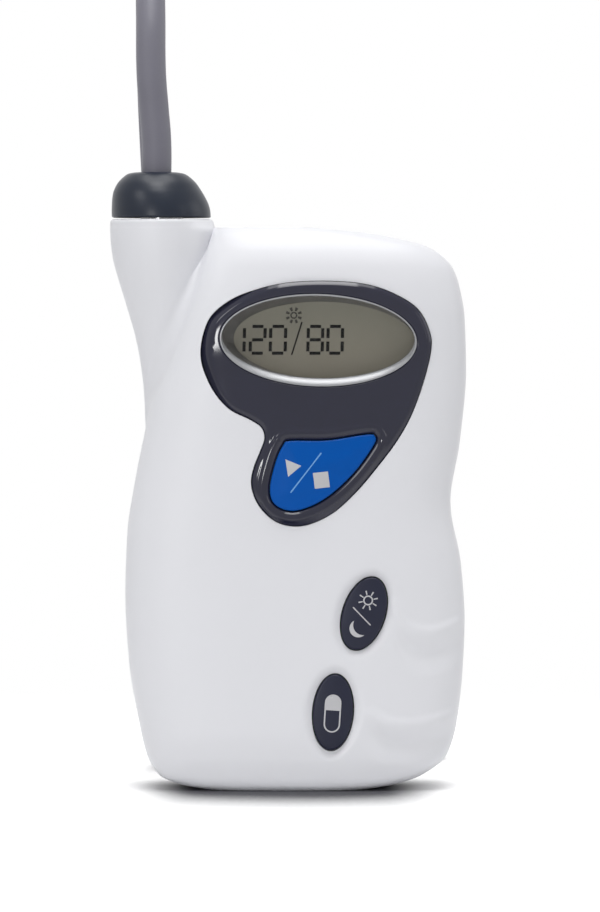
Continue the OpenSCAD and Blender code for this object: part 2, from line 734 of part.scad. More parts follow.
// Connector for the cuff: a barrel, a grip ring and a free nose, along -Y. Lengths run from the hose's end.
module cuff_part(r, from, to) {
    post(connector_at, r, connector_y - to, connector_y - from);
}
nose_r = 2.2;
nose_from = 13;
nose_to = 21;
module cuff_connector() {
    color("#2f3544") difference() {
        union() {
            cuff_part(3.4, 0, 5.5);
            cuff_part(3.8, 5, 11);
            cuff_part(3.2, 10.5, nose_from);
            cuff_part(nose_r, nose_from - 0.5, nose_to);
        }
        cuff_part(air_bore_d / 2, -1, nose_to + 1);
    }
}

front_shell();
rear_shell();
display_bezel();
window_ring();
display_lens();
lcd_panel();
lcd_holder();
lcd_contact_strips();
main_board();
board_chips();
backup_cell();
buzzer();
data_socket();
tactile_switches();
start_stop_button();
start_plunger();
day_night_button();
day_night_plunger();
event_button();
event_plunger();
pressure_sensors();
air_manifold();
bleed_valve();
pump_motor();
pump_shaft();
pump_head();
pump_foot();
pump_tube();
port_tube();
hose_port();
port_seal();
hose_coupling();
battery_tray();
battery_left();
battery_right();
battery_springs();
battery_contacts();
battery_door();
rear_label();
case_screws();
board_screws();
hose_run();
hose_hank();
hose_tie();
cuff_connector();
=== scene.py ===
"""Looks of an ambulatory blood pressure monitor, in metres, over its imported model."""

import json
import math
from bisect import bisect_left

import bmesh
import bpy
from bpy.props import FloatProperty, FloatVectorProperty, IntProperty, PointerProperty
from mathutils import Matrix, Vector
from mathutils.geometry import delaunay_2d_cdt
from mathutils.kdtree import KDTree


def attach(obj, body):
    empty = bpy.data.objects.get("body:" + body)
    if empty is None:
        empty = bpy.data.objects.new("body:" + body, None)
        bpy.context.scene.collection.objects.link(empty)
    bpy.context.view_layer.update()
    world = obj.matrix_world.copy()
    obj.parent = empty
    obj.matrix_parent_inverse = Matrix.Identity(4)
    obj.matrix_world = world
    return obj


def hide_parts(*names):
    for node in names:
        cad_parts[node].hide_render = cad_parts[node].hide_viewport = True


bl_info = {
    "name": "Ambulatory Blood Pressure Monitor",
    "version": (1, 0, 0),
    "blender": (4, 5, 0),
    "location": "3D View > Sidebar > Monitor",
    "description": "Builds the case, display, buttons, hose and finishes of a worn blood pressure monitor",
    "category": "Object",
}

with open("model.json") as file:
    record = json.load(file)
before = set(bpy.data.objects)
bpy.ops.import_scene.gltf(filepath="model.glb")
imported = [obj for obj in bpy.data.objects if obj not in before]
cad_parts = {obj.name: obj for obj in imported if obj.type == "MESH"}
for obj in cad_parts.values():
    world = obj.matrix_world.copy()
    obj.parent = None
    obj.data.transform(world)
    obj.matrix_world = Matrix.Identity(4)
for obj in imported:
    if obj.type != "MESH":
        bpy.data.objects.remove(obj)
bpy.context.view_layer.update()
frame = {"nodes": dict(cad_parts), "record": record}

# Side lines of the case seen from the front, as height and distance from the middle.
RIGHT_LINE = [
    (0, 0.016), (0.001, 0.0215), (0.0027, 0.0263), (0.0066, 0.0311), (0.013, 0.033), (0.024, 0.0342),
    (0.033, 0.03455), (0.044, 0.0338), (0.056, 0.03175), (0.068, 0.0336), (0.082, 0.0348), (0.092, 0.0345),
    (0.098, 0.0335), (0.1015, 0.0323), (0.104, 0.0302), (0.106, 0.027), (0.1075, 0.0214),
    (0.1086, 0.015), (0.1096, 0.005),
]
LEFT_LINE = [
    (0, 0.017), (0.001, 0.0218), (0.0027, 0.0254), (0.0066, 0.0277), (0.014, 0.0294), (0.025, 0.0312),
    (0.038, 0.0319), (0.05, 0.0315), (0.06, 0.03), (0.07, 0.028), (0.076, 0.0266), (0.086, 0.023),
    (0.097, 0.019), (0.105, 0.0164), (0.1096, 0.0148),
]
# Share of the full depth that is left near the base and the top.
DEPTH_LINE = [
    (0, 0.68), (0.001, 0.79), (0.003, 0.9), (0.0065, 0.97), (0.012, 1), (0.086, 1), (0.0925, 0.988),
    (0.098, 0.958), (0.102, 0.904), (0.105, 0.825), (0.107, 0.74), (0.1085, 0.65), (0.1096, 0.54),
]
# Neck that carries the hose collar: its outer side and its radius by height.
NECK_SIDE = [
    (0.07, 0.028), (0.076, 0.0282), (0.082, 0.0288), (0.088, 0.0299), (0.094, 0.0316), (0.099, 0.0331),
    (0.104, 0.03442), (0.1075, 0.0348), (0.1096, 0.0349),
]
NECK_RADIUS = [
    (0.07, 0.0045), (0.076, 0.0056), (0.084, 0.0062), (0.09, 0.0072), (0.096, 0.0085), (0.102, 0.0095),
    (0.107, 0.01), (0.1096, 0.0101),
]
# Tops of the case and of the collar on its neck, and the middle and radius of the collar.
CASE_TOP = 0.1096
COUPLING_X = -0.0248
COLLAR_TOP = 0.1113
COLLAR_RADIUS = 0.0101
# How far the collar's skin lies outside the neck's.
COLLAR_PROUD = 0.00002
# Inside of the collar, downwards from its top, as radius and height.
COLLAR_BORE = [(0.0074, COLLAR_TOP), (0.007, COLLAR_TOP - 0.0004), (0.007, 0.104), (0.006, 0.098)]
# Web from the collar to the body: its lowest height, the height over which it grows, and how it ends
# at the case's top.
WEB_FOOT = 0.098
WEB_GROWTH = 0.011
WEB_END_BELOW = 0.0008
WEB_END = 0.0025
# Angles in degrees from the direction of the body: where the web ends and over what angle it fades out,
# and the same for the dip in its middle, with the share of the web that is left there.
WEB_ANGLE = 66
WEB_BLEND = 30
DIP_ANGLE = 5
DIP_BLEND = 25
DIP_SHARE = 0.3

# Bezel and start button outlines, clockwise, as X and Z.
BEZEL_LINE = [
    (-0.0169, 0.0848), (-0.0155, 0.0913), (-0.0118, 0.095), (-0.0069, 0.0972), (-0.0005, 0.0987),
    (0.0069, 0.0991), (0.0143, 0.0986), (0.02, 0.0969), (0.025, 0.0938), (0.0274, 0.0893),
    (0.0276, 0.0854), (0.026, 0.079), (0.0237, 0.0729), (0.0209, 0.068), (0.0176, 0.0636),
    (0.0135, 0.0587), (0.0091, 0.0546), (0.005, 0.0524), (0.0017, 0.0517), (-0.0017, 0.0523),
    (-0.0044, 0.0542), (-0.0063, 0.0569), (-0.0071, 0.06), (-0.0066, 0.063), (-0.0053, 0.0663),
    (-0.0045, 0.0687), (-0.0051, 0.0708), (-0.0072, 0.0723), (-0.0116, 0.0746), (-0.015, 0.0789),
]
BUTTON_LINE = [
    (0.0004, 0.0682), (0.0076, 0.0683), (0.015, 0.0694), (0.0168, 0.0691), (0.0165, 0.0673),
    (0.0125, 0.0618), (0.0069, 0.0569), (0.0013, 0.0547), (-0.0025, 0.0559), (-0.0035, 0.0591),
    (-0.0023, 0.0644), (-0.0009, 0.0674),
]
# Ovals as centre, half width, half height and tilt.
WINDOW = ((0.00585, 0.0877), 0.0191, 0.00895, math.radians(-1.5))
GLASS = ((0.00585, 0.0883), 0.01865, 0.00795, math.radians(-1.5))
# Mask's inner edge, set right of and below the glass: its crescent at the left and top is painted shadow.
MASK_AND_PAINTED_SHADOW = ((0.00705, 0.08765), 0.01765, 0.0075, math.radians(-1.5))
DAY_NIGHT = ((0.0147, 0.0347), 0.0041, 0.0073, math.radians(-18))
EVENT = ((0.0087, 0.01555), 0.0039, 0.0074, math.radians(-4.5))
OVALS = {"day_night": DAY_NIGHT, "event": EVENT}
# Crests of the two finger ledges, as X and Z, and the X where each has faded out at its left.
LEDGES = [
    (
        [(0.0204, 0.0367), (0.0217, 0.0338), (0.0241, 0.0318), (0.0274, 0.0312), (0.0307, 0.032),
         (0.034, 0.0335)],
        0.018,
    ),
    ([(0.0162, 0.0155), (0.0196, 0.01365), (0.0229, 0.0133), (0.0274, 0.0139), (0.0325, 0.0153)], 0.0125),
]
# Heights over which a ledge rises to its crest, falls to its rest and comes back to the case.
LEDGE_RISE = 0.0014
LEDGE_FALL = 0.0048
LEDGE_RETURN = 0.0042
# Distance over which a ledge fades in, and how far in front of the parting line it starts at the side.
LEDGE_FADE = 0.007
LEDGE_FRONT = 0.006
# Least distance of dishes and ledges from the parting line.
FRONT_FROM = 0.001
# Outer line of the coupling as radius, height and X of its middle.
DOME_LINE = [
    (0.0097, 0.11185, -0.02488), (0.00966, 0.113, -0.02494), (0.00946, 0.1143, -0.0251),
    (0.0091, 0.1156, -0.02536), (0.00852, 0.117, -0.02562), (0.0075, 0.1186, -0.02575),
    (0.0059, 0.12, -0.02583), (0.0046, 0.1204, -0.02586), (0.0034, 0.1205, -0.02588),
    (0.00296, 0.1205, -0.02588),
]
CASE_SCREWS = [(0.02, 0.0068), (-0.01, 0.0044), (-0.01, 0.1043), (0.0245, 0.1018)]
# Radius of a screw's well.
SCREW_WELL = 0.0023
# Depths between which the front's round openings and the screw wells go.
FRONT_CUT = (-0.02, -0.008)
WELL_CUT = (0.007, 0.018)
# Openings with straight sides: their left, right, foot and top, and the depths between which they go.
SOCKET_OPENING = ((-0.0057, 0.0017, 0.106, 0.112), -0.0064, 0.0)
REAR_OPENINGS = {
    "battery bay": ((-0.0211, 0.0091, 0.0102, 0.0658), 0.01, 0.018),
    "battery door": ((-0.0236, 0.0116, -0.001, 0.0681), 0.0141, 0.018),
    "door latch": ((-0.0104, -0.0016, 0.0668, 0.0708), 0.0141, 0.0153),
    "label": ((-0.0122, 0.0222, 0.0758, 0.0982), 0.0156, 0.018),
}
# Depths of the display and of the pieces round it. The last four are behind the bezel's face.
LCD_FRONT = -0.0106
BEZEL_THICK = 0.003
LENS_FRONT = 0.0008
LENS_BACK = 0.0018
FUNNEL_FRONT = 0.0019
# Backs of the button caps, fronts of the oval ones, and how far the start cap stands out of the bezel.
START_BACK = -0.0126
OVAL_BACK = -0.0122
OVAL_FRONT = -0.01512
START_PROUD = 0.0001
# Distance from its outline over which the start cap rises, and the least distance that is reckoned with.
START_SLOPE = 0.005
NEAREST = 0.00001

# Route of the free hose, from inside the coupling to the hank.
HOSE_POINTS = [
    (-0.0258, 0, 0.1185), (-0.0258, 0, 0.1265), (-0.0263, 0, 0.133), (-0.0268, 0, 0.1395),
    (-0.027, 0.0031, 0.151), (-0.0273, 0.0115, 0.1594), (-0.0276, 0.023, 0.1625),
    (-0.0279, 0.0345, 0.1594), (-0.028, 0.0429, 0.151), (-0.0279, 0.046, 0.1395),
    (-0.0273, 0.044, 0.1265), (-0.0265, 0.0413, 0.113), (-0.0256, 0.0385, 0.0995),
    (-0.0249, 0.0356, 0.086), (-0.0247, 0.0328, 0.073), (-0.0248, 0.03, 0.06), (-0.0251, 0.027, 0.048),
    (-0.0254, 0.025, 0.0385), (-0.0258, 0.0248, 0.0293), (-0.0262, 0.0282, 0.0206),
    (-0.0267, 0.0347, 0.0138), (-0.0271, 0.0424, 0.0103), (-0.0271, 0.0486, 0.0095),
    (-0.0266, 0.0516, 0.0095), (-0.0256, 0.0576, 0.0095),
]
# Hank of the stored hose: its middle, the length of its straight runs, its innermost fold and the step
# between its lanes.
HANK_MIDDLE = (0.0008, 0.073)
HANK_RUN = 0.048
HANK_INNER = 0.0174
HANK_STEP = 0.0066
# Height of the hank's lower layer and the step up to its upper one.
HANK_LOW = 0.0029
HANK_RISE = 0.0064
# How far the strap draws the runs together, and lifts them.
HANK_WAIST = 0.005
HANK_LIFT = 0.0016
# Points along each run, each fold and each whole loop.
RUN_PARTS = 5
FOLD_PARTS = 7
LOOP_PARTS = 2 * (RUN_PARTS + FOLD_PARTS)
# Loops after which the hank starts, changes to its lower layer and ends.
HANK_FROM = 2 / LOOP_PARTS
HANK_TURN = 1 + (1.5 * RUN_PARTS + FOLD_PARTS) / LOOP_PARTS
HANK_TO = 3 + (RUN_PARTS + FOLD_PARTS - 1) / LOOP_PARTS
# Route from the hank to the connector.
HANK_END = [
    (0.0298, 0.104, 0.0029), (0.0308, 0.098, 0.003), (0.0303, 0.092, 0.0034), (0.0292, 0.086, 0.0038),
    (0.0292, 0.08, 0.0038),
]
# Strap round the hank: its two sides, its top, its width, its thickness and its corner radius.
TIE_X = (-0.0267, 0.0251)
TIE_TOP = 0.0155
TIE_WIDTH = 0.012
TIE_THICK = 0.0012
TIE_CORNER = 0.003
# Free end of the strap: X and rise above the strap, and how far its edges are inset from foot to top.
TAB_LINE = [(-0.009, 0.0), (-0.0088, 0.0009), (0.011, 0.001), (0.0125, 0.0009), (0.0128, 0.0)]
TAB_INSETS = (0.0004, 0.0002, 0.0006)
TAB_SUNK = 0.0001


def length(label, text, metres):
    """A size that shows as a length."""
    return FloatProperty(name=label, description=text, default=metres, unit="LENGTH", precision=5)


def colour(label, text, red, green, blue):
    """A colour of a finish."""
    return FloatVectorProperty(
        name=label, description=text, default=(red, green, blue), subtype="COLOR", min=0, max=1
    )


class CaseSettings(bpy.types.PropertyGroup):
    """Sizes and colour of the case."""

    wall: length("Wall", "Thickness of the case wall", 0.002)
    front_depth: length("Front depth", "Depth in front of the parting line", 0.0152)
    rear_depth: length("Rear depth", "Depth behind the parting line", 0.016)
    front_square: FloatProperty(
        name="Front squareness", description="Squareness of the front half, 2 is an ellipse", default=4
    )
    rear_square: FloatProperty(
        name="Rear squareness", description="Squareness of the rear half, 2 is an ellipse", default=8
    )
    rows: IntProperty(name="Rows", description="Rows of faces from base to top", default=250, min=40)
    columns: IntProperty(name="Columns", description="Columns of faces in one half", default=190, min=40)
    crease: length("Crease", "Half width of the fillet beside the neck", 0.0026)
    crease_foot: length("Crease foot", "Half width of that fillet at the waist", 0.0036)
    dish_width: length("Dish width", "Width of the slope round each oval button", 0.0021)
    dish_depth: length("Dish depth", "Depth of the slope round each oval button", 0.0007)
    ledge: length("Ledge", "Height of the crests above the finger rests", 0.0004)
    rest: length("Finger rest", "Depth of the finger rests below their crests", 0.0008)
    seam: length("Seam", "Depth of the groove on the parting line", 0.00025)
    seam_width: length("Seam width", "Half width of that groove", 0.00022)
    white: colour("White", "Colour of the case plastic", 0.76, 0.765, 0.8)


class DisplaySettings(bpy.types.PropertyGroup):
    """Sizes and colours of the bezel, window and display."""

    round: length("Roundness", "Radius of the bezel's face about the height", 0.21)
    crown_x: length("Crown", "X of the line where the face stands furthest out", 0.003)
    face_y: length("Face", "Y of that line", -0.01575)
    turn: length("Fall", "How far the face falls away round its left end", 0.0006)
    turn_width: length("Fall width", "Width of the band in which it falls away", 0.006)
    gap: length("Gap", "Gap between the bezel and the case", 0.00012)
    slope: FloatProperty(name="Edge slope", description="Steepness of the sloping edge", default=0.75)
    edge: length("Edge width", "Width of the sloping edge", 0.0008)
    edge_left: length("Left edge width", "Width of the sloping edge at the left end", 0.00155)
    edge_round: length("Edge roundness", "Softness of the line between the edge and the face", 0.00014)
    lip: length("Lip", "Height of the lip round the start button", 0.0003)
    lip_at: length("Lip place", "Distance of that crest from the button", 0.0013)
    lip_width: length("Lip width", "Width of the lip's outer slope", 0.0011)
    lip_round: length("Lip roundness", "Radius of the lip's inner slope", 0.0014)
    dark: colour("Bezel", "Colour of the bezel", 0.012, 0.0125, 0.03)
    pale: colour("Ring", "Colour of the window ring", 0.31, 0.315, 0.33)
    olive: colour("Display", "Colour of the resting display", 0.25, 0.243, 0.19)
    ink: colour("Segments", "Colour of the dark segments", 0.002, 0.002, 0.002)


class ButtonSettings(bpy.types.PropertyGroup):
    """Sizes and colours of the three buttons."""

    start_gap: length("Start gap", "Gap between the start button and the bezel", 0.0002)
    oval_gap: length("Oval gap", "Gap between an oval button and the case", 0.0002)
    edge: length("Edge radius", "Radius of a button's edge", 0.0004)
    crown: length("Crown", "Rise of a button's middle", 0.00028)
    lift: length("Print", "Thickness of the printed symbols", 0.00003)
    blue: colour("Start button", "Colour of the start button", 0.0, 0.083, 0.39)
    navy: colour("Oval buttons", "Colour of the oval buttons", 0.012, 0.014, 0.032)
    symbol: colour("Symbols", "Colour of the printed symbols", 0.5, 0.5, 0.52)


class HoseSettings(bpy.types.PropertyGroup):
    """Sizes and colours of the air hose and what is on it."""

    diameter: length("Diameter", "Outer diameter of the hose", 0.0058)
    long: length("Length", "Length of the hose from the coupling to the connector", 1.115)
    dome_foot: length("Coupling foot", "Height of the coupling's foot", 0.1116)
    collar_lip: length("Collar lip", "Radius of the collar's upper edge", 0.0007)
    web: length("Collar web", "Width of the web between the collar and the case's corners", 0.0014)
    grey: colour("Hose", "Colour of the hose", 0.15, 0.147, 0.18)
    slate: colour("Coupling", "Colour of the coupling and the connector", 0.003, 0.0075, 0.019)
    strap: colour("Strap", "Colour of the strap round the hank", 0.03, 0.03, 0.033)


class StageSettings(bpy.types.PropertyGroup):
    """Camera, lamps and floor."""

    distance: length("Distance", "Distance of the camera", 1.2)
    camera_x: length("Camera side", "X of the camera", 0.0023)
    camera_z: length("Camera height", "Height of the camera", 0.095)
    aim_z: length("Aim", "Height that the camera aims at", 0.0649)
    field: length("Field", "Height of the field of view at the case", 0.1788)
    key: FloatProperty(name="Key lamp", description="Lamp at the upper left", default=2.4, unit="POWER")
    strip: FloatProperty(name="Strip lamp", description="Narrow lamp at the left", default=1.7, unit="POWER")
    over: FloatProperty(name="Front top lamp", description="Lamp above the camera", default=3.5, unit="POWER")
    top: FloatProperty(name="Top lamp", description="Lamp overhead", default=6.8, unit="POWER")
    fill: FloatProperty(name="Fill lamp", description="Lamp at the right", default=0.45, unit="POWER")
    side: FloatProperty(name="Side lamp", description="Lamp at the far right", default=1.3, unit="POWER")
    ambient: FloatProperty(name="Ambient", description="Light from all round", default=0.18, min=0)
    floor_glow: FloatProperty(
        name="Floor glow", description="Brightness added to the floor in view", default=0.52, min=0
    )
    shadow_reach: length("Shadow reach", "Reach of the contact shadow on the floor", 0.1)
    floor_fade: length("Floor fade", "Distance at which the floor starts to fade out", 0.12)
    floor: colour("Floor", "Colour of the floor", 0.92, 0.92, 0.92)


SETTINGS = {
    "monitor_case": CaseSettings,
    "monitor_display": DisplaySettings,
    "monitor_buttons": ButtonSettings,
    "monitor_hose": HoseSettings,
    "monitor_stage": StageSettings,
}


# Curves and outlines


def smooth(u):
    """Even step from 0 to 1."""
    u = min(max(u, 0.0), 1.0)
    return u * u * (3 - 2 * u)


def hermite(a, b, slope_a, slope_b, u):
    """Cubic from a to b with those slopes."""
    return (
        (2 * u**3 - 3 * u**2 + 1) * a
        + (u**3 - 2 * u**2 + u) * slope_a
        + (3 * u**2 - 2 * u**3) * b
        + (u**3 - u**2) * slope_b
    )


class SmoothLine:
    """Curve through (position, value) pairs that never overshoots them."""

    def __init__(self, pairs):
        self.starts = [p[0] for p in pairs]
        self.values = [p[1] for p in pairs]
        rises = [(b[1] - a[1]) / (b[0] - a[0]) for a, b in zip(pairs, pairs[1:])]
        inner = [0 if a * b <= 0 else 2 * a * b / (a + b) for a, b in zip(rises, rises[1:])]
        self.slopes = [rises[0], *inner, rises[-1]]

    def __call__(self, t):
        t = min(max(t, self.starts[0]), self.starts[-1])
        i = min(max(bisect_left(self.starts, t) - 1, 0), len(self.starts) - 2)
        width = self.starts[i + 1] - self.starts[i]
        return hermite(
            self.values[i],
            self.values[i + 1],
            self.slopes[i] * width,
            self.slopes[i + 1] * width,
            (t - self.starts[i]) / width,
        )


right_side = SmoothLine(RIGHT_LINE)
left_side = SmoothLine(LEFT_LINE)
depth_share = SmoothLine(DEPTH_LINE)
neck_side = SmoothLine(NECK_SIDE)
neck_radius = SmoothLine(NECK_RADIUS)


def closed_curve(points, steps):
    """Smooth closed line through points, with that many steps between two of them."""
    points = [Vector(p) for p in points]
    count = len(points)
    line = []
    for i in range(count):
        before, start, end, after = (points[(i + k) % count] for k in (-1, 0, 1, 2))
        for k in range(steps):
            line.append(hermite(start, end, (end - before) / 2, (after - start) / 2, k / steps))
    return line


def open_curve(points, steps):
    """Smooth line through points, with that many steps between two of them."""
    points = [Vector(p) for p in points]
    last = len(points) - 1
    line = []
    for i in range(last):
        start, end = points[i], points[i + 1]
        slope_a = (end - points[max(i - 1, 0)]) / 2
        slope_b = (points[min(i + 2, last)] - start) / 2
        line += [hermite(start, end, slope_a, slope_b, k / steps) for k in range(steps)]
    return [*line, points[-1]]


def moved(line, distance):
    """A clockwise outline moved outwards."""
    count = len(line)
    out = []
    for i in range(count):
        along = (line[(i + 1) % count] - line[i - 1]).normalized()
        out.append(line[i] + distance * Vector((-along.y, along.x)))
    return out


def oval(shape, grow=0.0, count=120):
    """Clockwise outline of an oval given as centre, half width, half height and tilt."""
    centre, half_width, half_height, tilt = shape
    turn = Matrix.Rotation(tilt, 2)
    return [
        Vector(centre)
        + turn @ Vector((-(half_width + grow) * math.cos(a), (half_height + grow) * math.sin(a)))
        for a in (2 * math.pi * i / count for i in range(count))
    ]


def outside_oval(shape, x, z):
    """Distance from an oval's edge, negative inside it, and the share of its size at that point."""
    centre, half_width, half_height, tilt = shape
    at = Matrix.Rotation(-tilt, 2) @ Vector((x - centre[0], z - centre[1]))
    share = math.hypot(at.x / half_width, at.y / half_height)
    return (share - 1) * at.length / max(share, 1e-6), share


def thin_line(points, width, steps=8):
    """Clockwise outline of a thin straight line with round ends, from its two ends."""
    start, end = (Vector(p) for p in points)
    along = (end - start).normalized()
    across = Vector((-along.y, along.x)) * width / 2
    line = []
    for middle, way in ((start, -1), (end, 1)):
        for i in range(steps + 1):
            a = math.pi * i / steps
            line.append(middle + way * (math.sin(a) * along * width / 2 - math.cos(a) * across))
    return line


class Distance:
    """Distance inwards from a fine clockwise outline, negative outside it."""

    def __init__(self, line):
        self.line = line
        self.tree = KDTree(len(line))
        for i, p in enumerate(line):
            self.tree.insert((p.x, p.y, 0), i)
        self.tree.balance()

    def __call__(self, x, z):
        spot = Vector((x, z))
        i = self.tree.find((x, z, 0))[1]
        nearest = None
        for k in (i - 1, i):
            start, end = self.line[k], self.line[(k + 1) % len(self.line)]
            along = end - start
            share = (spot - start).dot(along) / along.length_squared
            away = spot - start - min(max(share, 0), 1) * along
            side = along.y * away.x - along.x * away.y
            if nearest is None or away.length < abs(nearest):
                nearest = math.copysign(away.length, side)
        return nearest


# Meshes


# Distance at which two points are one.
MERGE = 1e-7


class Plate:
    """A region drawn as X and Z, with holes, whose points follow its edges in rows."""

    def __init__(self, outer, holes=(), rows=(), gap=0.001, least=0.00009):
        points = []
        self.rims = []
        for line in (outer, *holes):
            first = len(points)
            points += line
            self.rims.append(list(range(first, len(points))))
        self.cells = {}
        self.least = least
        for p in points:
            self._mark(p)
        for line in rows:
            points += [p for p in line if self._free(p, least)]
        points += self._filling(outer, gap)
        found = delaunay_2d_cdt(points, [], self.rims, 2, 1e-8)
        self.points, self.faces, sources = found[0], found[2], found[3]
        places = {i: k for k, own in enumerate(sources) for i in own}
        self.rims = [[places[i] for i in rim] for rim in self.rims]

    def _mark(self, p):
        """Note that there is a point at p."""
        self.cells.setdefault((int(p.x // self.least), int(p.y // self.least)), []).append(p)

    def _free(self, p, room):
        """Take p, unless a point is nearer than room."""
        reach = math.ceil(room / self.least)
        column, row = int(p.x // self.least), int(p.y // self.least)
        for i in range(column - reach, column + reach + 1):
            for k in range(row - reach, row + reach + 1):
                if any((q - p).length < room for q in self.cells.get((i, k), ())):
                    return False
        self._mark(p)
        return True

    def _filling(self, outer, gap):
        """Points of a triangular lattice where nothing else is near."""
        low = Vector((min(p.x for p in outer), min(p.y for p in outer)))
        high = Vector((max(p.x for p in outer), max(p.y for p in outer)))
        rise = gap * math.sqrt(3) / 2
        spots = []
        for row in range(math.ceil((high.y - low.y) / rise)):
            for column in range(math.ceil((high.x - low.x) / gap)):
                spots.append(low + Vector(((column + row % 2 / 2) * gap, row * rise)))
        return [p for p in spots if self._free(p, 0.7 * gap)]

    def solid(self, front, back):
        """Points and faces of the closed body between the depths front(x, z) and back(x, z)."""
        count = len(self.points)
        verts = [(p.x, front(p.x, p.y), p.y) for p in self.points]
        verts += [(p.x, back(p.x, p.y), p.y) for p in self.points]
        faces = [tuple(f) for f in self.faces]
        faces += [tuple(i + count for i in reversed(f)) for f in self.faces]
        for rim in self.rims:
            for i, j in zip(rim, rim[1:] + rim[:1]):
                faces.append((i, j, j + count, i + count))
        return verts, faces


def loft(rings, joined=False):
    """Points and faces through closed rings of equally many points, joined end to end or capped."""
    count = len(rings[0])
    verts = [tuple(p) for ring in rings for p in ring]
    faces = []
    last = len(rings) if joined else len(rings) - 1
    for i in range(last):
        a = i * count
        b = (i + 1) % len(rings) * count
        for k in range(count):
            n = (k + 1) % count
            faces.append((a + k, a + n, b + n, b + k))
    if not joined:
        faces.append(tuple(range(count)))
        faces.append(tuple(range(len(verts) - count, len(verts))))
    return verts, faces


def placed(name, data):
    """An object of the scene that shows that data."""
    item = bpy.data.objects.new(name, data)
    bpy.context.scene.collection.objects.link(item)
    return item


def closed_mesh(name, verts, faces):
    """Mesh of a closed body, with its faces turned outwards."""
    mesh = bpy.data.meshes.new(name)
    mesh.from_pydata(verts, [], faces)
    work = bmesh.new()
    work.from_mesh(mesh)
    bmesh.ops.remove_doubles(work, verts=work.verts, dist=MERGE)
    bmesh.ops.recalc_face_normals(work, faces=work.faces)
    work.to_mesh(mesh)
    work.free()
    return mesh


def add_piece(name, shape, body, slot, stands_for=(), sharp=38, front=None, look=None):
    """Add a smooth mesh piece that rides on a body, shaded as its drawn front where it has one."""
    piece = placed(name, closed_mesh(name, *shape))
    dress(piece, body, slot, stands_for, sharp, look)
    if front:
        shade_front(piece.data, front)
    return piece


def shade_front(mesh, front, step=0.00002, near=0.000002):
    """Shade the faces that lie at the depth front(x, z) with that surface's own slope."""
    slopes = []
    for v in mesh.vertices:
        x, y, z = v.co
        if abs(front(x, z) - y) > near:
            slopes.append(None)
            continue
        across = (front(x + step, z) - front(x - step, z)) / (2 * step)
        up = (front(x, z + step) - front(x, z - step)) / (2 * step)
        slopes.append(Vector((across, -1, up)).normalized())
    normals = [(0, 0, 0)] * len(mesh.loops)
    for face in mesh.polygons:
        if all(slopes[i] for i in face.vertices):
            for loop in face.loop_indices:
                normals[loop] = slopes[mesh.loops[loop].vertex_index]
    mesh.normals_split_custom_set(normals)


def dress(piece, body, slot, stands_for=(), sharp=38, look=None):
    """Give a piece its slot's finish or its own look, its body and the nodes that it stands for."""
    piece.data.materials.append(look or finish(slot))
    if piece.type == "MESH":
        piece.data.shade_smooth()
        piece.data.set_sharp_from_angle(angle=math.radians(sharp))
    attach(piece, body)
    if stands_for:
        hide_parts(*stands_for)
    return piece


def prism(name, outline, low, high):
    """A cutter: an outline drawn as X and Z between two depths."""
    rings = [[(p[0], y, p[1]) for p in outline] for y in (low, high)]
    return bpy.data.objects.new(name, closed_mesh(name, *loft(rings)))


def rectangle(x0, x1, z0, z1):
    """Clockwise outline of a rectangle."""
    return [(x0, z0), (x0, z1), (x1, z1), (x1, z0)]


def circle(centre, radius, count=48):
    """Clockwise outline of a circle."""
    return oval((centre, radius, radius, 0), count=count)


def cut(piece, cutters):
    """Take the cutters' space out of a mesh piece."""
    group = bpy.data.collections.new("cutters")
    bpy.context.scene.collection.children.link(group)
    for cutter in cutters:
        group.objects.link(cutter)
    modifier = piece.modifiers.new("Openings", "BOOLEAN")
    modifier.operand_type = "COLLECTION"
    modifier.collection = group
    modifier.solver = "MANIFOLD"
    mesh = bpy.data.meshes.new_from_object(piece.evaluated_get(bpy.context.evaluated_depsgraph_get()))
    if len(mesh.polygons) == len(piece.data.polygons):
        raise RuntimeError(f"nothing was cut out of {piece.name}")
    piece.modifiers.clear()
    piece.data = mesh
    for cutter in cutters:
        bpy.data.objects.remove(cutter)
    bpy.data.collections.remove(group)


# Shaders


class Wire:
    """An output of a node. Arithmetic on it adds Math nodes."""

    def __init__(self, nodes, socket):
        self.nodes = nodes
        self.socket = socket

    def maths(self, operation, *values):
        """Add a Math node over wires and numbers."""
        return self.nodes.add("ShaderNodeMath", {"operation": operation}, dict(enumerate(values)))

    def __add__(self, other):
        return self.maths("ADD", self, other)

    def __radd__(self, other):
        return self.maths("ADD", other, self)

    def __sub__(self, other):
        return self.maths("SUBTRACT", self, other)

    def __rsub__(self, other):
        return self.maths("SUBTRACT", other, self)

    def __mul__(self, other):
        return self.maths("MULTIPLY", self, other)

    def __rmul__(self, other):
        return self.maths("MULTIPLY", other, self)

    def __truediv__(self, other):
        return self.maths("DIVIDE", self, other)

    def __gt__(self, other):
        return self.maths("GREATER_THAN", self, other)

    def __abs__(self):
        return self.maths("ABSOLUTE", self)


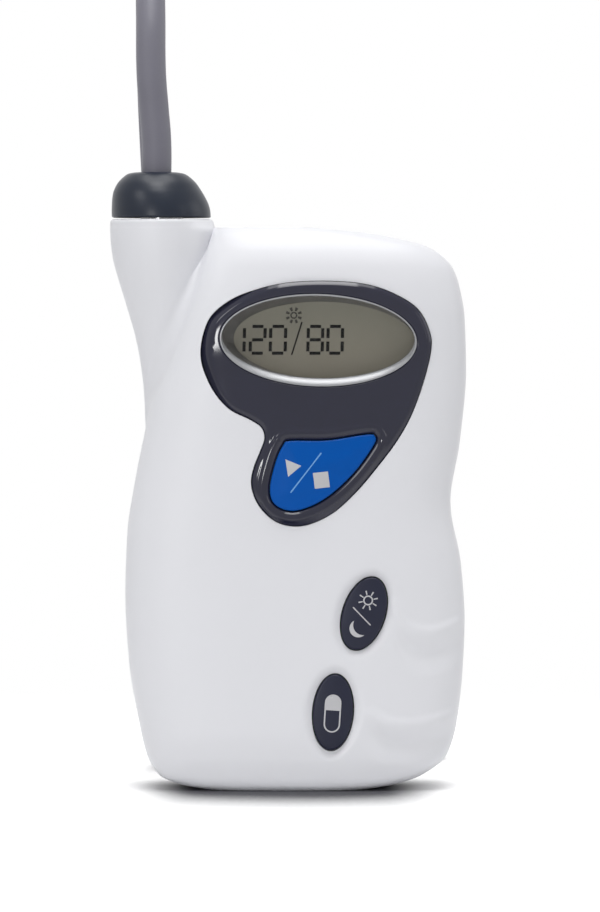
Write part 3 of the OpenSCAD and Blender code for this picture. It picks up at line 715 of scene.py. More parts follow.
class Nodes:
    """The nodes of a material or of the world."""

    def __init__(self, tree):
        self.tree = tree

    def feed(self, node, key, value):
        """Set or drive an input of a node."""
        if isinstance(value, Wire):
            self.tree.links.new(value.socket, node.inputs[key])
        else:
            node.inputs[key].default_value = value

    def add(self, kind, settings=None, inputs=None, output=0):
        """Add a node: its settings first, then the values or wires of its inputs."""
        node = self.tree.nodes.new(kind)
        for key, value in (settings or {}).items():
            if key == "stops":
                ramp = node.color_ramp.elements
                while len(ramp) < len(value):
                    ramp.new(0.5)
                for element, (position, tint) in zip(ramp, value):
                    element.position = position
                    element.color = (*tint, 1)
            else:
                setattr(node, key, value)
        for key, value in (inputs or {}).items():
            self.feed(node, key, value)
        return Wire(self, node.outputs[output])

    def step(self, wire, start, end):
        """Even rise from 0 at start to 1 at end."""
        values = {"Value": wire, "From Min": start, "From Max": end}
        return self.add("ShaderNodeMapRange", {"interpolation_type": "SMOOTHSTEP"}, values)

    def seen_directly(self):
        """1 for rays from the camera, a mirror or glass, else 0."""
        camera, mirror, glass = (
            self.add("ShaderNodeLightPath", output=f"Is {ray} Ray")
            for ray in ("Camera", "Glossy", "Transmission")
        )
        return camera.maths("MAXIMUM", camera.maths("MAXIMUM", camera, mirror), glass)


class Finish(Nodes):
    """A material: its main shader, and the nodes that drive it."""

    def __init__(self, name, colour, roughness, **constants):
        self.material = bpy.data.materials.new(name)
        self.material.use_nodes = True
        super().__init__(self.material.node_tree)
        self.shader = self.tree.nodes["Principled BSDF"]
        self.base = tuple(colour)
        self.set("Base Color", (*self.base, 1))
        self.set("Roughness", roughness)
        for key, value in constants.items():
            self.set(key.replace("_", " "), value)
        self.place = self.add("ShaderNodeTexCoord", output="Object")

    def set(self, name, value):
        """Set or drive an input of the main shader."""
        self.feed(self.shader, name, value)

    def axis(self, name):
        """One coordinate of the place on the piece."""
        return self.add("ShaderNodeSeparateXYZ", inputs={0: self.place}, output=name)

    def stretched(self, x, y, z):
        """The place, scaled differently along each axis."""
        return self.add("ShaderNodeVectorMath", {"operation": "MULTIPLY"}, {0: self.place, 1: (x, y, z)})

    def noise(self, size, detail=2.0, rough=0.5, place=None):
        """Noise from 0 to 1 whose features are about that size in metres."""
        values = {"Vector": place or self.place, "Scale": 1 / size, "Detail": detail, "Roughness": rough}
        return self.add("ShaderNodeTexNoise", inputs=values)

    def cells(self, size):
        """Distance from the middle of irregular cells of that size."""
        return self.add("ShaderNodeTexVoronoi", inputs={"Vector": self.place, "Scale": 1 / size})

    def ramp(self, wire, *stops):
        """Colours between stops given as position and colour."""
        return self.add("ShaderNodeValToRGB", {"stops": stops}, {0: wire})

    def mix(self, factor, first, second):
        """Blend two colours."""
        values = {0: factor}
        for key, tint in ((6, first), (7, second)):
            values[key] = tint if isinstance(tint, Wire) else (*tint, 1)
        return self.add("ShaderNodeMix", {"data_type": "RGBA"}, values, 2)

    def tint(self, wire, spread):
        """The base colour, darker and lighter by that share as the wire goes from 0 to 1."""
        low, high = ([c * (1 + way * spread) for c in self.base] for way in (-1, 1))
        return self.mix(wire, low, high)

    def bump(self, height, depth):
        """Raise the surface by depth metres where height is 1."""
        values = {"Height": height, "Distance": depth, "Strength": 1.0}
        self.set("Normal", self.add("ShaderNodeBump", inputs=values))


def moulded(name, colour, roughness, grain=0.0003, depth=0.00001, spread=0.03, **constants):
    """Moulded plastic: a fine grain, cloudy gloss and slightly uneven colour."""
    look = Finish(name, colour, roughness, **constants)
    clouds = look.noise(0.012, 3, 0.6)
    fine = look.noise(grain, 2, 0.6)
    look.set("Base Color", look.tint(clouds, spread))
    look.set("Roughness", roughness + 0.1 * (clouds - 0.5) + 0.08 * (fine - 0.5))
    look.bump(fine, depth)
    return look.material


def symbol_print(name, colour):
    """Ink printed on a button."""
    return moulded(name, colour, 0.45, 0.0003, 0.000004, 0.06)


def segment_ink(name, colour, level):
    """Dark figure of the display."""
    return moulded(name, colour, 0.4, 0.0002, 0.000002, 0.2, Specular_IOR_Level=level)


def case_white():
    """Satin white plastic, polished a little where hands rub it."""
    case = bpy.context.scene.monitor_case
    look = Finish("Case plastic", case.white, 0.42, IOR=1.47)
    clouds = look.noise(0.02, 3, 0.55)
    grain = look.noise(0.00035, 2, 0.65)
    edges = look.add("ShaderNodeNewGeometry", output="Pointiness")
    rubbed = look.ramp(edges, (0.5, (0, 0, 0)), (0.56, (1, 1, 1)))
    look.set("Base Color", look.tint(clouds, 0.012))
    look.set("Roughness", 0.4 + 0.06 * (clouds - 0.5) + 0.08 * (grain - 0.5) - 0.08 * rubbed)
    look.bump(grain, 0.000006)
    return look.material


def bezel_gloss():
    """Polished dark slate plastic with faint smears and hairlines."""
    display = bpy.context.scene.monitor_display
    look = Finish("Bezel gloss", display.dark, 0.06, Specular_IOR_Level=0.4)
    smears = look.noise(0.006, 3, 0.55)
    lines = look.noise(0.00015, 1, 0.5, look.stretched(1, 1, 0.04))
    look.set("Base Color", look.tint(smears, 0.12))
    look.set("Roughness", 0.05 + 0.05 * smears + 0.02 * lines)
    look.bump(smears, 0.000004)
    return look.material


def ring_satin():
    """Pale satin rim with a slight metallic sheen."""
    display = bpy.context.scene.monitor_display
    look = Finish("Ring satin", display.pale, 0.25, Metallic=0.15, Coat_Weight=0.3)
    fine = look.noise(0.0002, 2)
    look.set("Base Color", look.tint(look.noise(0.004), 0.02))
    look.set("Roughness", 0.2 + 0.1 * fine)
    look.bump(fine, 0.000003)
    return look.material


def lens_clear():
    """Clear window with a faint smear."""
    look = Finish("Window plastic", (0.1, 0.1, 0.1), 0.06, Alpha=0.07, IOR=1.49, Specular_IOR_Level=0.2)
    smears = look.noise(0.005, 3)
    look.set("Roughness", 0.04 + 0.08 * smears)
    look.bump(smears, 0.000002)
    return look.material


def display_olive():
    """Reflective liquid crystal behind its polariser: olive grey, warmer towards its foot."""
    display = bpy.context.scene.monitor_display
    look = Finish("Display glass", display.olive, 0.3, IOR=1.5)
    foot, tall = 0.08, 0.016
    height = (look.axis("Z") - foot) / tall
    warm = [c * k for c, k in zip(display.olive, (0.95, 0.86, 0.83))]
    fine = look.noise(0.00012, 1)
    clouds = look.noise(0.008, 2)
    tone = look.mix(height, warm, display.olive)
    look.set("Base Color", look.mix(0.25 * fine + 0.2 * clouds, tone, [c * 1.25 for c in display.olive]))
    look.set("Roughness", 0.28 + 0.1 * fine)
    look.bump(fine, 0.000001)
    return look.material


def button_gloss(name, colour, spread, level):
    """Satin button cap with a little grease."""
    look = Finish(name, colour, 0.3, Specular_IOR_Level=level)
    grease = look.noise(0.004, 3, 0.6)
    fine = look.noise(0.00025, 2)
    look.set("Base Color", look.tint(grease, spread))
    look.set("Roughness", 0.28 + 0.12 * grease + 0.06 * (fine - 0.5))
    look.bump(fine, 0.000004)
    return look.material


def hose_rubber():
    """Soft grey hose: fine draw lines, bloom and mottling."""
    hose = bpy.context.scene.monitor_hose
    look = Finish("Hose rubber", hose.grey, 0.5, IOR=1.5, Sheen_Weight=0.08, Sheen_Roughness=0.5)
    bloom = look.noise(0.009, 4, 0.6)
    fine = look.noise(0.0004, 3, 0.6)
    look.set("Base Color", look.tint(0.6 * bloom + 0.4 * fine, 0.1))
    look.set("Roughness", 0.42 + 0.16 * bloom)
    look.bump(fine, 0.00001)
    return look.material


def coupling_satin():
    """Dark slate satin plastic of the coupling and the cuff connector."""
    hose = bpy.context.scene.monitor_hose
    look = Finish("Coupling plastic", hose.slate, 0.34, Specular_IOR_Level=0.36)
    clouds = look.noise(0.006, 3, 0.6)
    fine = look.noise(0.0003, 2)
    look.set("Base Color", look.tint(clouds, 0.1))
    look.set("Roughness", 0.34 + 0.1 * (clouds - 0.5) + 0.08 * (fine - 0.5))
    look.bump(fine, 0.000008)
    return look.material


def strap_weave():
    """Woven strap: crossing threads with a fuzzy nap."""
    hose = bpy.context.scene.monitor_hose
    look = Finish("Strap weave", hose.strap, 0.85, Sheen_Weight=0.4, Sheen_Roughness=0.4)
    values = {"Vector": look.place, "Scale": 310, "Distortion": 0.6}
    slanted, level = (
        look.add("ShaderNodeTexWave", {"bands_direction": way}, values, "Fac") for way in ("DIAGONAL", "Y")
    )
    nap = look.noise(0.0002, 3, 0.7)
    weave = 0.5 * slanted + 0.5 * level
    look.set("Base Color", look.tint(0.6 * weave + 0.4 * nap, 0.45))
    look.bump(weave + 0.6 * nap, 0.00012)
    return look.material


def tube_soft():
    """Milky soft tubing."""
    look = Finish("Soft tube", (0.62, 0.62, 0.59), 0.35, Alpha=0.75, IOR=1.42)
    look.set("Base Color", look.tint(look.noise(0.004, 3), 0.06))
    look.bump(look.noise(0.0006, 2), 0.00001)
    return look.material


def board_mask():
    """Green solder mask over fine copper traces and pads."""
    look = Finish("Board", (0.004, 0.075, 0.022), 0.3, Coat_Weight=0.3)
    upright = {"Vector": look.place, "Angle": math.pi / 2}
    facing = look.add("ShaderNodeVectorRotate", {"rotation_type": "X_AXIS"}, upright)
    values = {"Vector": facing, "Scale": 160, "Mortar Size": 0.018}
    traces = look.add("ShaderNodeTexBrick", {"offset": 0.35, "squash": 0.7}, values, "Fac")
    pads = 1 - (look.cells(0.0022) > 0.22)
    look.set("Base Color", look.mix(0.7 * traces, look.base, (0.03, 0.2, 0.07)))
    look.set("Roughness", 0.3 + 0.15 * look.noise(0.003))
    look.bump(traces + pads, 0.00003)
    return look.material


def steel(name, tone, roughness):
    """Drawn or turned metal with fine brush lines."""
    look = Finish(name, (tone, tone, tone * 1.01), roughness, Metallic=1.0)
    lines = look.noise(0.0006, 3, 0.6, look.stretched(1, 1, 8))
    look.set("Base Color", look.tint(look.noise(0.005, 3), 0.08))
    look.set("Roughness", roughness + 0.15 * (lines - 0.5))
    look.bump(lines, 0.000006)
    return look.material


def cell_sleeve():
    """Printed sleeve of a cell: grey foil with a darker band at one end."""
    look = Finish("Cell sleeve", (0.1, 0.12, 0.15), 0.3, Metallic=0.6)
    band = look.axis("Z") > 0.05
    look.set("Base Color", look.mix(band, look.tint(look.noise(0.003), 0.15), (0.32, 0.33, 0.35)))
    look.set("Roughness", 0.26 + 0.12 * look.noise(0.0015, 3))
    look.bump(look.noise(0.0008, 2), 0.000008)
    return look.material


def label_matt():
    """Bare matt label with a fine paper grain."""
    look = Finish("Label", (0.56, 0.57, 0.6), 0.6)
    fibres = look.noise(0.0003, 4, 0.7, look.stretched(1, 1, 0.3))
    look.set("Base Color", look.tint(fibres, 0.05))
    look.set("Roughness", 0.55 + 0.15 * fibres)
    look.bump(fibres, 0.00001)
    return look.material


FINISHES = {
    "case_white": case_white,
    "bezel_dark": bezel_gloss,
    "ring_pale": ring_satin,
    "lens_clear": lens_clear,
    "display_grey": display_olive,
    "hose_grey": hose_rubber,
    "dome_navy": coupling_satin,
    "tie_dark": strap_weave,
    "tube_clear": tube_soft,
    "board_green": board_mask,
    "cell_sleeve": cell_sleeve,
    "label_grey": label_matt,
    "button_blue": lambda: button_gloss("Start blue", bpy.context.scene.monitor_buttons.blue, 0.05, 0.1),
    "button_navy": lambda: button_gloss("Button navy", bpy.context.scene.monitor_buttons.navy, 0.12, 0.25),
    "rubber_dark": lambda: moulded("Seal rubber", (0.012, 0.012, 0.013), 0.6, 0.0005, 0.00002, 0.15),
    "plastic_dark": lambda: moulded("Dark plastic", (0.018, 0.018, 0.02), 0.45, spread=0.12),
    "plastic_pale": lambda: moulded("Pale plastic", (0.58, 0.58, 0.57), 0.4),
    "steel": lambda: steel("Bright steel", 0.6, 0.28),
    "steel_dark": lambda: steel("Dark steel", 0.3, 0.36),
}
made_finishes = {}


def finish(slot):
    """The material of a slot of the record, made once."""
    if slot not in made_finishes:
        made_finishes[slot] = FINISHES[slot]()
    return made_finishes[slot]


# Case


class CaseSection:
    """Outline of one half of the case at one height, by distance from its left end."""

    STEPS = 260
    # Heights between which the fillet beside the neck changes its width.
    CREASE_FROM = 0.085
    CREASE_OVER = 0.02

    def __init__(self, case, height, front, inset=0.0):
        self.halves = (left_side(height) - inset, right_side(height) - inset)
        self.depth = depth_share(height) * (case.front_depth if front else case.rear_depth) - inset
        self.power = case.front_square if front else case.rear_square
        self.way = -1 if front else 1
        self.neck = 0.0
        first = 0.0
        if height > NECK_SIDE[0][0] + 1e-6:
            self.radius = neck_radius(height) - inset
            self.neck_x = neck_radius(height) - neck_side(height)
            self.neck = self.radius * self._meeting()
            meeting = self._on_neck(self.neck)
            first = math.atan2(abs(meeting.y), -meeting.x)
        up = smooth((height - self.CREASE_FROM) / self.CREASE_OVER)
        crease = case.crease_foot + (case.crease - case.crease_foot) * up
        self.crease = min(crease, 0.8 * self.neck)
        self.angles = [first + (math.pi - first) * i / self.STEPS for i in range(self.STEPS + 1)]
        spots = [self._on_wall(a) for a in self.angles]
        self.reach = [self.neck]
        for a, b in zip(spots, spots[1:]):
            self.reach.append(self.reach[-1] + (b - a).length)
        self.length = self.reach[-1]

    def _on_wall(self, angle):
        """Point of the body in that direction from the middle."""
        across, out = -math.cos(angle), math.sin(angle)
        half = self.halves[0] if across < 0 else self.halves[1]
        share = (abs(across) / half) ** self.power + (out / self.depth) ** self.power
        r = share ** (-1 / self.power)
        return Vector((r * across, self.way * r * out))

    def _on_neck(self, distance):
        """Point of the neck at that distance from its left end."""
        a = distance / self.radius
        return Vector((self.neck_x - self.radius * math.cos(a), self.way * self.radius * math.sin(a)))

    def _inside(self, angle):
        """Tell whether the neck is inside the body at that angle."""
        p = self._on_neck(angle * self.radius)
        half = self.halves[0] if p.x < 0 else self.halves[1]
        return (abs(p.x) / half) ** self.power + (abs(p.y) / self.depth) ** self.power < 1

    def _meeting(self, step=0.02, halvings=30):
        """Angle on the neck at which it goes into the body."""
        high = 0.0
        while high < math.pi and not self._inside(high):
            high += step
        low = max(high - step, 0.0)
        for _ in range(halvings):
            middle = (low + high) / 2
            if self._inside(middle):
                high = middle
            else:
                low = middle
        return low

    def _plain(self, distance):
        """Point at that distance, without the fillet."""
        if distance < self.neck:
            return self._on_neck(distance)
        i = min(max(bisect_left(self.reach, distance), 1), self.STEPS)
        share = (distance - self.reach[i - 1]) / (self.reach[i] - self.reach[i - 1])
        return self._on_wall(self.angles[i - 1] + share * (self.angles[i] - self.angles[i - 1]))

    def spot(self, distance):
        """Point at that distance, with a fillet where the neck meets the body."""
        if self.crease > 0 and abs(distance - self.neck) < self.crease:
            u = (distance - self.neck + self.crease) / (2 * self.crease)
            before = self._plain(self.neck - self.crease)
            after = self._plain(self.neck + self.crease)
            return (1 - u) ** 2 * before + 2 * u * (1 - u) * self._plain(self.neck) + u**2 * after
        return self._plain(distance)

    def places(self, count, neck_part=0.2, least=0.003, fine=0.0014, edge=0.0005):
        """Distances of the columns, close together at both ends and beside the crease."""
        split = max(self.neck, least)

        def weight(s):
            near = 3 * math.exp(-(((s - split) / fine) ** 2))
            ends = math.exp(-((s / edge) ** 2)) + math.exp(-(((self.length - s) / edge) ** 2))
            return 1 + near + 3 * ends

        left = round(count * neck_part)
        return graded(0, split, left, weight)[:-1] + graded(split, self.length, count - left, weight)


def graded(start, end, count, weight, samples=160):
    """Values from start to end whose spacing goes down as the weight goes up."""
    spots = [start + (end - start) * i / samples for i in range(samples + 1)]
    sums = [0.0]
    for a, b in zip(spots, spots[1:]):
        sums.append(sums[-1] + weight((a + b) / 2) * (b - a))
    values = []
    for i in range(count + 1):
        wanted = sums[-1] * i / count
        k = min(max(bisect_left(sums, wanted), 1), samples)
        share = (wanted - sums[k - 1]) / (sums[k] - sums[k - 1])
        values.append(spots[k - 1] + share * (spots[k] - spots[k - 1]))
    return values


def case_heights(rows, step=0.0002, most=7, ledge_foot=0.004, ledge_top=0.045):
    """Heights of the case's rows, closer where its outline turns in and at the finger ledges."""

    def weight(z):
        low, high = max(z - step, 0), min(z + step, CASE_TOP)
        slope = (right_side(high) - right_side(low)) / (high - low)
        return min(math.hypot(1, slope), most) + 0.5 * (ledge_foot < z < ledge_top)

    return graded(0, CASE_TOP, rows, weight, 1200)


# Rows that close the base and the top: their shares of the depth, the X that they narrow towards, and the
# share of the width that is left at the parting line.
CAP_SHARES = (0.93, 0.8, 0.6, 0.4, 0.2, 0.08, 0.045, 0.022, 0.0)
CAP_MIDDLE = -0.002
CAP_SPAN = 0.85
# Columns of faces on the inside of the wall.
INNER_COLUMNS = 40


def shell_grid(case, front, inset, columns, heights):
    """Rows of points of one half of the case, with its base and top closed as far as the seam."""
    rows = []
    for height in heights:
        section = CaseSection(case, height, front, inset)
        z = inset + height * (1 - 2 * inset / CASE_TOP)
        row = [Vector((*section.spot(s), z)) for s in section.places(columns)]
        row[0].y = row[-1].y = 0.0
        rows.append(row)
    return cap_rows(rows[0])[::-1] + rows + cap_rows(rows[-1])


def cap_rows(row):
    """Rows that go from a row of the case to the parting line."""
    caps = []
    for share in CAP_SHARES:
        span = share + (1 - share) * CAP_SPAN
        caps.append([Vector((CAP_MIDDLE + span * (p.x - CAP_MIDDLE), share * p.y, p.z)) for p in row])
    return caps


def shell_shape(case, front):
    """Points and faces of one half of the case wall, and how many points are its outer skin."""
    heights = case_heights(case.rows)
    skins = [
        shell_grid(case, front, 0.0, case.columns, heights),
        shell_grid(case, front, case.wall, INNER_COLUMNS, heights),
    ]
    verts = []
    faces = []
    firsts = []
    for rows in skins:
        wide = len(rows[0])
        firsts.append([len(verts) + i * wide for i in range(len(rows))])
        verts += [tuple(p) for row in rows for p in row]
        for a, b in zip(firsts[-1], firsts[-1][1:]):
            faces += [(a + k, a + k + 1, b + k + 1, b + k) for k in range(wide - 1)]
    outer, inner = firsts
    last_out, last_in = (len(rows[0]) - 1 for rows in skins)
    for end_out, end_in in ((0, 0), (last_out, last_in)):
        for i in range(len(outer) - 1):
            a, b = outer[i] + end_out, outer[i + 1] + end_out
            c, d = inner[i + 1] + end_in, inner[i] + end_in
            faces.append((a, b, c, d))
    partner = [round(k * last_in / last_out) for k in range(last_out + 1)]
    for a, b in ((outer[0], inner[0]), (outer[-1], inner[-1])):
        for k in range(last_out):
            face = [a + k, a + k + 1, b + partner[k + 1]]
            if partner[k] != partner[k + 1]:
                face.append(b + partner[k])
            faces.append(face)
    return verts, faces, inner[0]


def dish(case, x, z):
    """Depth of the slopes round the oval buttons."""
    deep = 0.0
    for shape in OVALS.values():
        away, _ = outside_oval(shape, x, z)
        if away < case.dish_width:
            deep = max(deep, case.dish_depth * (1 - smooth(away / case.dish_width)))
    return deep


def ledge(case, x, y, z, lines):
    """Height of the finger ledges: a soft crest, and below it a shallow rest for a finger."""
    high = 0.0
    for line, fade_x in lines:
        above = z - line(x)
        if not -LEDGE_FALL - LEDGE_RETURN < above < LEDGE_RISE:
            continue
        if above > 0:
            profile = case.ledge * (1 - smooth(above / LEDGE_RISE))
        elif above > -LEDGE_FALL:
            profile = case.ledge - (case.ledge + case.rest) * smooth(-above / LEDGE_FALL)
        else:
            profile = -case.rest * (1 - smooth((-above - LEDGE_FALL) / LEDGE_RETURN))
        fade = smooth((x - fade_x) / LEDGE_FADE) * smooth((-y - LEDGE_FRONT) / LEDGE_FADE)
        high += profile * fade
    return high


def add_shell(name, front, cutters, node):
    """One half of the case, with its dishes, ledges, seam groove and openings."""
    case = bpy.context.scene.monitor_case
    verts, faces, outer_count = shell_shape(case, front)
    mesh = bpy.data.meshes.new(name)
    mesh.from_pydata(verts, [], faces)
    work = bmesh.new()
    work.from_mesh(mesh)
    work.verts.ensure_lookup_table()
    skin = work.verts[:outer_count]
    bmesh.ops.remove_doubles(work, verts=work.verts, dist=MERGE)
    bmesh.ops.recalc_face_normals(work, faces=work.faces)
    work.normal_update()
    lines = [(SmoothLine(points), fade_x) for points, fade_x in LEDGES]
    for v in skin:
        if not v.is_valid:
            continue
        x, y, z = v.co
        deep = case.seam * math.exp(-((y / case.seam_width) ** 2))
        if front and y < -FRONT_FROM:
            deep += dish(case, x, z) - ledge(case, x, y, z, lines)
        v.co -= deep * v.normal
    bmesh.ops.dissolve_degenerate(work, edges=work.edges, dist=MERGE)
    work.to_mesh(mesh)
    work.free()
    piece = placed(name, mesh)
    cut(piece, cutters)
    piece.data.materials.clear()
    dress(piece, "case", "case_white", [node], 30)


def front_cutters(display, buttons):
    """Openings of the front half: bezel, oval buttons and data socket."""
    outlines = [moved(closed_curve(BEZEL_LINE, 6), display.gap)]
    outlines += [oval(shape, buttons.oval_gap) for shape in OVALS.values()]
    cutters = [prism("front opening", outline, *FRONT_CUT) for outline in outlines]
    corners, low, high = SOCKET_OPENING
    return [*cutters, prism("socket opening", rectangle(*corners), low, high)]


def rear_cutters():
    """Openings of the rear half: battery bay and door, latch, label and screw wells."""
    cutters = []
    for name, (corners, low, high) in REAR_OPENINGS.items():
        cutters.append(prism(name, rectangle(*corners), low, high))
    return cutters + [prism("screw well", circle(at, SCREW_WELL), *WELL_CUT) for at in CASE_SCREWS]


def add_collar(hose):
    """Rim of the neck under the coupling, with a round lip and a web to the body."""
    lip = hose.collar_lip
    profile = []
    web_rows, rim_rows, lip_rows = 24, 9, 6
    for i in range(web_rows + 1):
        z = WEB_FOOT + (CASE_TOP - WEB_FOOT) * i / web_rows
        profile.append((neck_radius(z) + COLLAR_PROUD, z, neck_radius(z) - neck_side(z)))
    for i in range(1, rim_rows):
        profile.append((COLLAR_RADIUS, CASE_TOP + (COLLAR_TOP - lip - CASE_TOP) * i / rim_rows, COUPLING_X))
    for i in range(lip_rows + 1):
        a = math.pi / 2 * i / lip_rows
        r = COLLAR_RADIUS - lip + lip * math.cos(a)
        profile.append((r, COLLAR_TOP - lip + lip * math.sin(a), COUPLING_X))
    outside = len(profile)
    profile += [(r, z, COUPLING_X) for r, z in COLLAR_BORE]
    rings = turned(profile, 192)
    for ring, (r, z, x) in zip(rings[:outside], profile):
        rise = smooth((z - WEB_FOOT) / WEB_GROWTH)
        rise *= 1 - smooth((z - CASE_TOP + WEB_END_BELOW) / WEB_END)
        for i, p in enumerate(ring):
            away = Vector((p[0] - x, p[1]))
            turn = abs(math.degrees(math.atan2(away.y, away.x)))
            dip = DIP_SHARE + (1 - DIP_SHARE) * smooth((turn - DIP_ANGLE) / DIP_BLEND)
            away *= 1 + hose.web * smooth((WEB_ANGLE - turn) / WEB_BLEND) * dip * rise / r
            ring[i] = (x + away.x, away.y, z)
    add_piece("hose_collar", loft(rings, joined=True), "case", "case_white")


# Hose


def loop_spot(t, radius):
    """Place on a hank loop of run, fold, run and fold, after t loops."""
    part = t % 1 * LOOP_PARTS
    half = HANK_RUN / 2
    fold = RUN_PARTS + FOLD_PARTS
    back = fold + RUN_PARTS
    if part < RUN_PARTS:
        return -radius, -half + HANK_RUN * part / RUN_PARTS
    if part < fold:
        a = math.pi * (part - RUN_PARTS) / FOLD_PARTS
        return -radius * math.cos(a), half + radius * math.sin(a)
    if part < back:
        return radius, half - HANK_RUN * (part - fold) / RUN_PARTS
    a = math.pi * (part - back) / FOLD_PARTS
    return radius * math.cos(a), -half - radius * math.sin(a)


def hank_spot(t):
    """Point of the hose in the hank: inwards on the upper layer, then outwards on the lower one."""
    x, y = loop_spot(t, HANK_INNER + HANK_STEP * abs(t - HANK_TURN))
    climb = RUN_PARTS / (2 * LOOP_PARTS)
    down = smooth((t - HANK_TURN + climb) / (2 * climb))
    drawn = (1 + math.cos(2 * math.pi * y / HANK_RUN)) / 2 if abs(y) < HANK_RUN / 2 else 0
    return (
        HANK_MIDDLE[0] + x - math.copysign(HANK_WAIST, x) * drawn,
        HANK_MIDDLE[1] + y,
        HANK_LOW + HANK_RISE * (1 - down) + HANK_LIFT * drawn,
    )


def add_hose(hose):
    """The air hose as one smooth line from the coupling through the hank to the connector."""
    parts = round(LOOP_PARTS * (HANK_TO - HANK_FROM))
    route = HOSE_POINTS + [hank_spot(HANK_FROM + i / LOOP_PARTS) for i in range(parts + 1)] + HANK_END
    curve = bpy.data.curves.new("air_hose", "CURVE")
    curve.dimensions = "3D"
    curve.resolution_u = 8
    curve.bevel_depth = hose.diameter / 2
    curve.bevel_resolution = 8
    curve.use_fill_caps = True
    spline = curve.splines.new("BEZIER")
    spline.bezier_points.add(len(route) - 1)
    for point, spot in zip(spline.bezier_points, route):
        point.co = spot
        point.handle_left_type = point.handle_right_type = "AUTO"
    return dress(placed("air_hose", curve), "case", "hose_grey", ["hose_run", "hose_hank"])


def rounded_box(x0, x1, z0, z1, radius, steps=6):
    """Outline of a rectangle with round corners."""
    left, right, low, high = x0 + radius, x1 - radius, z0 + radius, z1 - radius
    line = []
    for i, (x, z) in enumerate(((right, high), (left, high), (left, low), (right, low))):
        for k in range(steps + 1):
            a = math.pi / 2 * (i + k / steps)
            line.append((x + radius * math.cos(a), z + radius * math.sin(a)))
    return line


def add_tie():
    """Strap round the hank, with its free end pressed down on top."""
    y0, y1 = HANK_MIDDLE[1] - TIE_WIDTH / 2, HANK_MIDDLE[1] + TIE_WIDTH / 2
    rings = []
    section = [(0, 0.1), (0.03, 0), (0.97, 0), (1, 0.1), (1, 0.9), (0.97, 1), (0.03, 1), (0, 0.9)]
    for across, deep in section:
        inset = TIE_THICK * deep
        radius = TIE_CORNER - inset / 2
        line = rounded_box(TIE_X[0] + inset, TIE_X[1] - inset, inset, TIE_TOP - inset, radius)
        rings.append([(x, y0 + TIE_WIDTH * across, z) for x, z in line])
    band = add_piece("hank_strap", loft(rings, joined=True), "case", "tie_dark", ["hose_tie"], 50)
    tab = []
    for x, rise in TAB_LINE:
        z0, z1 = TIE_TOP - TAB_SUNK, TIE_TOP + rise
        edge = list(zip(TAB_INSETS, (z0, (z0 + z1) / 2, z1)))
        right = [(x, y1 - inset, z) for inset, z in edge]
        left = [(x, y0 + inset, z) for inset, z in edge]
        tab.append([left[0], *right, *left[:0:-1]])
    return [band, add_piece("strap_end", loft(tab), "case", "tie_dark", (), 50)]


def add_connector():
    """Cuff connector: barrel, ribbed grip and nose, each as distance along it and radius."""
    x, y, z = HANK_END[-1]
    profile = [
        (-0.0008, 0.0), (-0.0008, 0.003), (-0.0003, 0.0033), (0.0004, 0.0034), (0.0046, 0.0034),
        (0.005, 0.0036),
    ]
    first_rib, rib_step, rib_radius, groove_radius = 0.0053, 0.0012, 0.0038, 0.0035
    for i in range(5):
        at = first_rib + rib_step * i
        profile += [(at, rib_radius), (at + 0.0005, rib_radius)]
        profile += [(at + 0.0007, groove_radius), (at + 0.001, groove_radius)]
    profile += [
        (0.0114, 0.0036), (0.0118, 0.0032), (0.0128, 0.0032), (0.0131, 0.003), (0.0131, 0.0022),
        (0.0178, 0.0021), (0.0184, 0.0023), (0.0186, 0.0022), (0.0205, 0.0018), (0.021, 0.0016),
        (0.021, 0.0013), (0.0165, 0.0013), (0.0165, 0.0),
    ]
    turns = full_turn(48)
    rings = [[(x + r * math.cos(a), y - along, z + r * math.sin(a)) for a in turns] for along, r in profile]
    return add_piece("hose_connector", loft(rings), "case", "dome_navy", ["cuff_connector"], 30)


def full_turn(count):
    """That many even angles, all the way round."""
    return [2 * math.pi * i / count for i in range(count)]


def turned(profile, count):
    """Rings through a profile given as radius, height and X of the middle."""
    turns = full_turn(count)
    return [[(x + r * math.cos(a), r * math.sin(a), z) for a in turns] for r, z, x in profile]


def add_coupling(hose):
    """Dark dome that locks the hose, leaning a little towards its left side."""
    underside = [(0.0054, 0.0012), (0.0054, 0.0003), (0.0056, 0.0), (0.0094, 0.0), (0.00962, 0.00008)]
    profile = [(r, hose.dome_foot + up, COUPLING_X) for r, up in underside]
    profile += [tuple(p) for p in open_curve(DOME_LINE, 6)]
    add_piece("coupling_dome", loft(turned(profile, 144)), "coupling", "dome_navy", ["hose_coupling"])


# Display


def face_depth(display, x):
    """Depth of the bezel's curved face."""
    return display.face_y + (x - display.crown_x) ** 2 / (2 * display.round)


# Distances at which rows of points lie: from the bezel's outline, round the start button and the window,
# and from the outlines of the start button and the oval buttons.
EDGE_ROWS = (
    0.00012, 0.00028, 0.00042, 0.00052, 0.0006, 0.00068, 0.00076, 0.00086, 0.00098, 0.00115, 0.0014, 0.0017,
)
LIP_ROWS = (0.00012, 0.0003, 0.0005, 0.0007, 0.0009, 0.0011, 0.0013, 0.0015, 0.0018, 0.0021, 0.0026)
WINDOW_ROWS = (0.0001, 0.00022, 0.0004, 0.0008)
START_ROWS = (0.00008, 0.00018, 0.0003, 0.00045, 0.0007, 0.001, 0.0015)
OVAL_ROWS = (0.0001, 0.0002, 0.00032, 0.00045, 0.0007, 0.0011)


